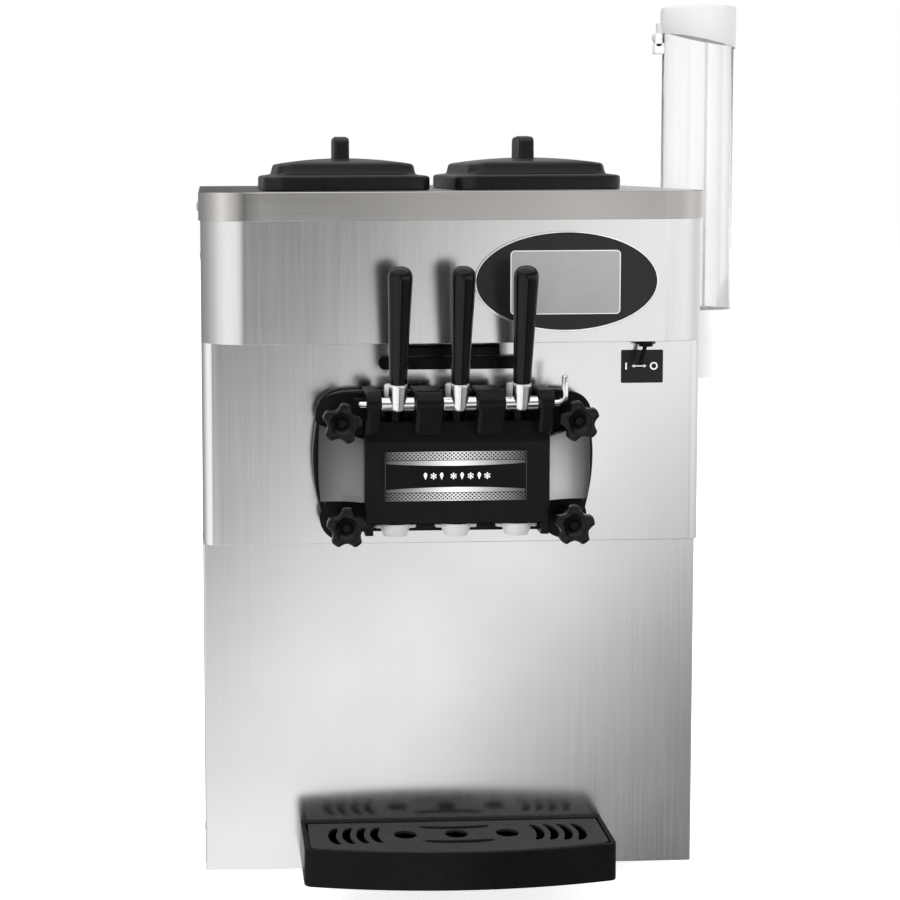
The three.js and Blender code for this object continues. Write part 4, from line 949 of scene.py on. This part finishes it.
# ------------------------------------------------------------------ CAD nodes that stay: bevelled, smoothed and given materials
def keep(node, mat, bev=0.4, smooth=35):
    o = NODES[node]
    o.data.materials.clear()
    o.data.materials.append(mat)
    w = o.modifiers.new("weld", "WELD")
    w.merge_threshold = 1e-5
    d = o.modifiers.new("planar", "DECIMATE")
    d.decimate_type, d.angle_limit = "DISSOLVE", radians(1)
    if bev:
        b = o.modifiers.new("bevel", "BEVEL")
        b.width, b.segments, b.limit_method, b.angle_limit = bev / 1000, 2, "ANGLE", radians(32)
        b.use_clamp_overlap = True
    for p in o.data.polygons:
        p.use_smooth = True
    o.data.set_sharp_from_angle(angle=radians(smooth))


keep("base_pan", GALV, 0.3)
keep("power_inlet", MATT, 0.3)
keep("head_mount_flange", STEEL_I, 0.3)
keep("freezing_cylinder_left", STEEL_I, 0)
keep("freezing_cylinder_right", STEEL_I, 0)
keep("beater_left", WHITE, 0)
keep("beater_right", WHITE, 0)
keep("drive_gearbox", CAST, 2.0)
keep("drive_motor", ENAMEL, 1.0)
keep("compressor", ENAMEL, 0)
keep("condenser", STEEL_D, 0.3)
keep("fan_rotor", MATT, 0.3)
keep("tray_hanger", STEEL_I, 0.3)
pins = [plate(rrect(x - 1.5, x + 1.5, z - 2, z + 2, 0.5, 3), [], "xz", 626, 636.5, 0.3) for x, z in ((180, 84), (170, 75), (190, 75))]
make("inlet_pins", *merge(pins), CAB, CHROME, "polished_chrome")

# ------------------------------------------------------------------ stage, camera, light
def stage_plane(name, size, at, col):
    me = bpy.data.meshes.new(name)
    s = size / 2
    me.from_pydata([(-s, -s, 0), (s, -s, 0), (s, s, 0), (-s, s, 0)], [], [(0, 1, 2, 3)])
    o = bpy.data.objects.new(name, me)
    o.location = at
    m, nt, b = nodes_of(name + "_mat")
    b.inputs["Base Color"].default_value = (*col, 1)
    b.inputs["Roughness"].default_value = 0.9
    me.materials.append(m)
    bpy.context.scene.collection.objects.link(o)
    b.inputs["Emission Color"].default_value = (1, 1, 1, 1)
    b.inputs["Emission Strength"].default_value = 0.75
    o.visible_glossy = False
    return o


stage_plane("floor", 30, (0, 0, 0), (0.93, 0.93, 0.93))

CAM = dict(x=-264.1063, y=-2067.8318, z=800.0, yaw=0.0459, pitch=0.0878, roll=-0.0048, lens=79.004, sx=0.17, sy=-0.125)
cd = bpy.data.cameras.new("camera")
cam = bpy.data.objects.new("camera", cd)
bpy.context.scene.collection.objects.link(cam)
cy_, sy_ = cos(CAM["yaw"]), sin(CAM["yaw"])
F = Vector((sy_, cy_, 0)); Rv = Vector((cy_, -sy_, 0)); U = Vector((0, 0, 1))
cp, sp = cos(CAM["pitch"]), sin(CAM["pitch"])
F2 = F * cp - U * sp
U2 = U * cp + F * sp
cr_, sr_ = cos(CAM["roll"]), sin(CAM["roll"])
R3 = Rv * cr_ + U2 * sr_
U3 = U2 * cr_ - Rv * sr_
M = Matrix.Identity(4)
for i in range(3):
    M[i][0], M[i][1], M[i][2] = R3[i], U3[i], -F2[i]
M.translation = W3(CAM["x"], CAM["y"], CAM["z"])
cam.matrix_world = M
cd.lens, cd.sensor_width, cd.sensor_fit = CAM["lens"], 36, "AUTO"
cd.shift_x, cd.shift_y = CAM["sx"], CAM["sy"]
cd.clip_end = 100
bpy.context.scene.camera = cam

world = bpy.data.worlds.new("studio")
bpy.context.scene.world = world
world.use_nodes = True
wn = world.node_tree
bg = wn.nodes["Background"]


def wm(op, *a, clamp=False):
    n = add(wn, "ShaderNodeMath", operation=op)
    n.use_clamp = clamp
    for i, v in enumerate(a):
        if isinstance(v, (int, float)):
            n.inputs[i].default_value = v
        else:
            wn.links.new(v, n.inputs[i])
    return n.outputs[0]


def wstep(v, a, b):
    n = add(wn, "ShaderNodeMapRange")
    n.interpolation_type = "SMOOTHSTEP"
    n.inputs["From Min"].default_value, n.inputs["From Max"].default_value = a, b
    wn.links.new(v, n.inputs["Value"])
    return n.outputs["Result"]


def wramp(v, a, b, stops):
    return ramp(wn, maprange(wn, v, a, b, 0, 1), [((p - a) / (b - a), c) for p, c in stops])


def wmix(f, a, b):
    return wm("ADD", wm("MULTIPLY", wm("SUBTRACT", 1.0, f), a), wm("MULTIPLY", f, b))


tc = add(wn, "ShaderNodeTexCoord")
sx = add(wn, "ShaderNodeSeparateXYZ")
wn.links.new(tc.outputs["Generated"], sx.inputs[0])
dx, dy, dz = sx.outputs[0], sx.outputs[1], sx.outputs[2]
phi = wm("ARCTAN2", dx, wm("MULTIPLY", dy, -1.0))
hyp = wm("SQRT", wm("ADD", wm("MULTIPLY", dx, dx), wm("MULTIPLY", dy, dy)))
el = wm("DIVIDE", dz, wm("MAXIMUM", hyp, 0.02))
elc = wm("MAXIMUM", wm("MINIMUM", el, 0.2), -0.42)
aa = wm("MAXIMUM", wm("MINIMUM", phi, 0.27), -0.03)
pp = wm("SUBTRACT", wm("ADD", 268.8, wm("MULTIPLY", aa, 1612.0)), wm("MULTIPLY", elc, 1061.0))
front = wramp(pp, 250, 1150, [(250, 0.23), (390, 0.25), (440, 0.34), (500, 0.6), (570, 0.98), (640, 1.3), (740, 1.3), (800, 1.02), (870, 0.56), (940, 0.24), (1020, 0.07), (1150, 0.03)])
left = wramp(phi, -3.1416, 0.0, [(-3.1416, 0.2), (-2.9, 0.25), (-2.3, 0.36), (-2.0, 0.46), (-1.6, 0.66), (-1.25, 0.95), (-1.0, 1.08), (-0.5, 1.06), (-0.3, 0.93), (-0.15, 0.65), (0.0, 0.4)])
right = wramp(phi, 0.0, 3.1416, [(0.0, 1.05), (0.4, 1.1), (1.3, 1.15), (1.9, 0.85), (2.6, 0.9), (2.98, 0.9), (3.09, 0.4), (3.1416, 0.2)])
wl = wm("SUBTRACT", 1.0, wstep(phi, -0.26, -0.03))
env = wmix(wl, front, left)
low = wm("SUBTRACT", 1.0, wstep(el, -0.3, -0.05))
wr = wm("MULTIPLY", wstep(phi, 0.27, 0.5), wm("SUBTRACT", 1.0, wm("MULTIPLY", low, 0.75)))
env = wmix(wr, env, right)
env = wmix(wm("MULTIPLY", wstep(el, 0.1, 0.22), wm("SUBTRACT", 1.0, wm("MULTIPLY", wm("MULTIPLY", wl, 0.6), wm("SUBTRACT", 1.0, wstep(wm("ABSOLUTE", phi), 1.9, 2.6))))), env, 0.3)
env = wmix(wstep(el, 0.55, 0.95), env, 1.35)
lp = add(wn, "ShaderNodeLightPath")
val = wmix(lp.outputs["Is Glossy Ray"], 0.72, env)
see = wm("MAXIMUM", lp.outputs["Is Camera Ray"], lp.outputs["Is Transmission Ray"])
val = wmix(see, val, 1.0)
cc = add(wn, "ShaderNodeCombineColor")
for i in range(3):
    wn.links.new(val, cc.inputs[i])
wn.links.new(cc.outputs[0], bg.inputs["Color"])
bg.inputs["Strength"].default_value = 1.0
if hasattr(world, "cycles"):
    world.cycles.sampling_method = "NONE"
bpy.context.scene.view_settings.view_transform = "Standard"


def area(name, at, target, sx, sz, power, col=(1, 1, 1)):
    ld = bpy.data.lights.new(name, "AREA")
    ld.shape, ld.size, ld.size_y, ld.energy, ld.color = "RECTANGLE", sx, sz, power, col
    o = bpy.data.objects.new(name, ld)
    o.location = at
    o.rotation_mode = "QUATERNION"
    o.rotation_quaternion = (Vector(target) - Vector(at)).to_track_quat("-Z", "Y")
    o.visible_glossy = False
    bpy.context.scene.collection.objects.link(o)
    return o


area("key_left", (-2.4, -2.0, 1.6), (0, 0, 0.5), 0.9, 2.2, 60)
area("top", (0, -0.6, 3.0), (0, 0, 0.5), 2.5, 1.6, 40)
area("fill_right", (2.6, -1.4, 1.2), (0, 0, 0.5), 0.6, 1.8, 18)
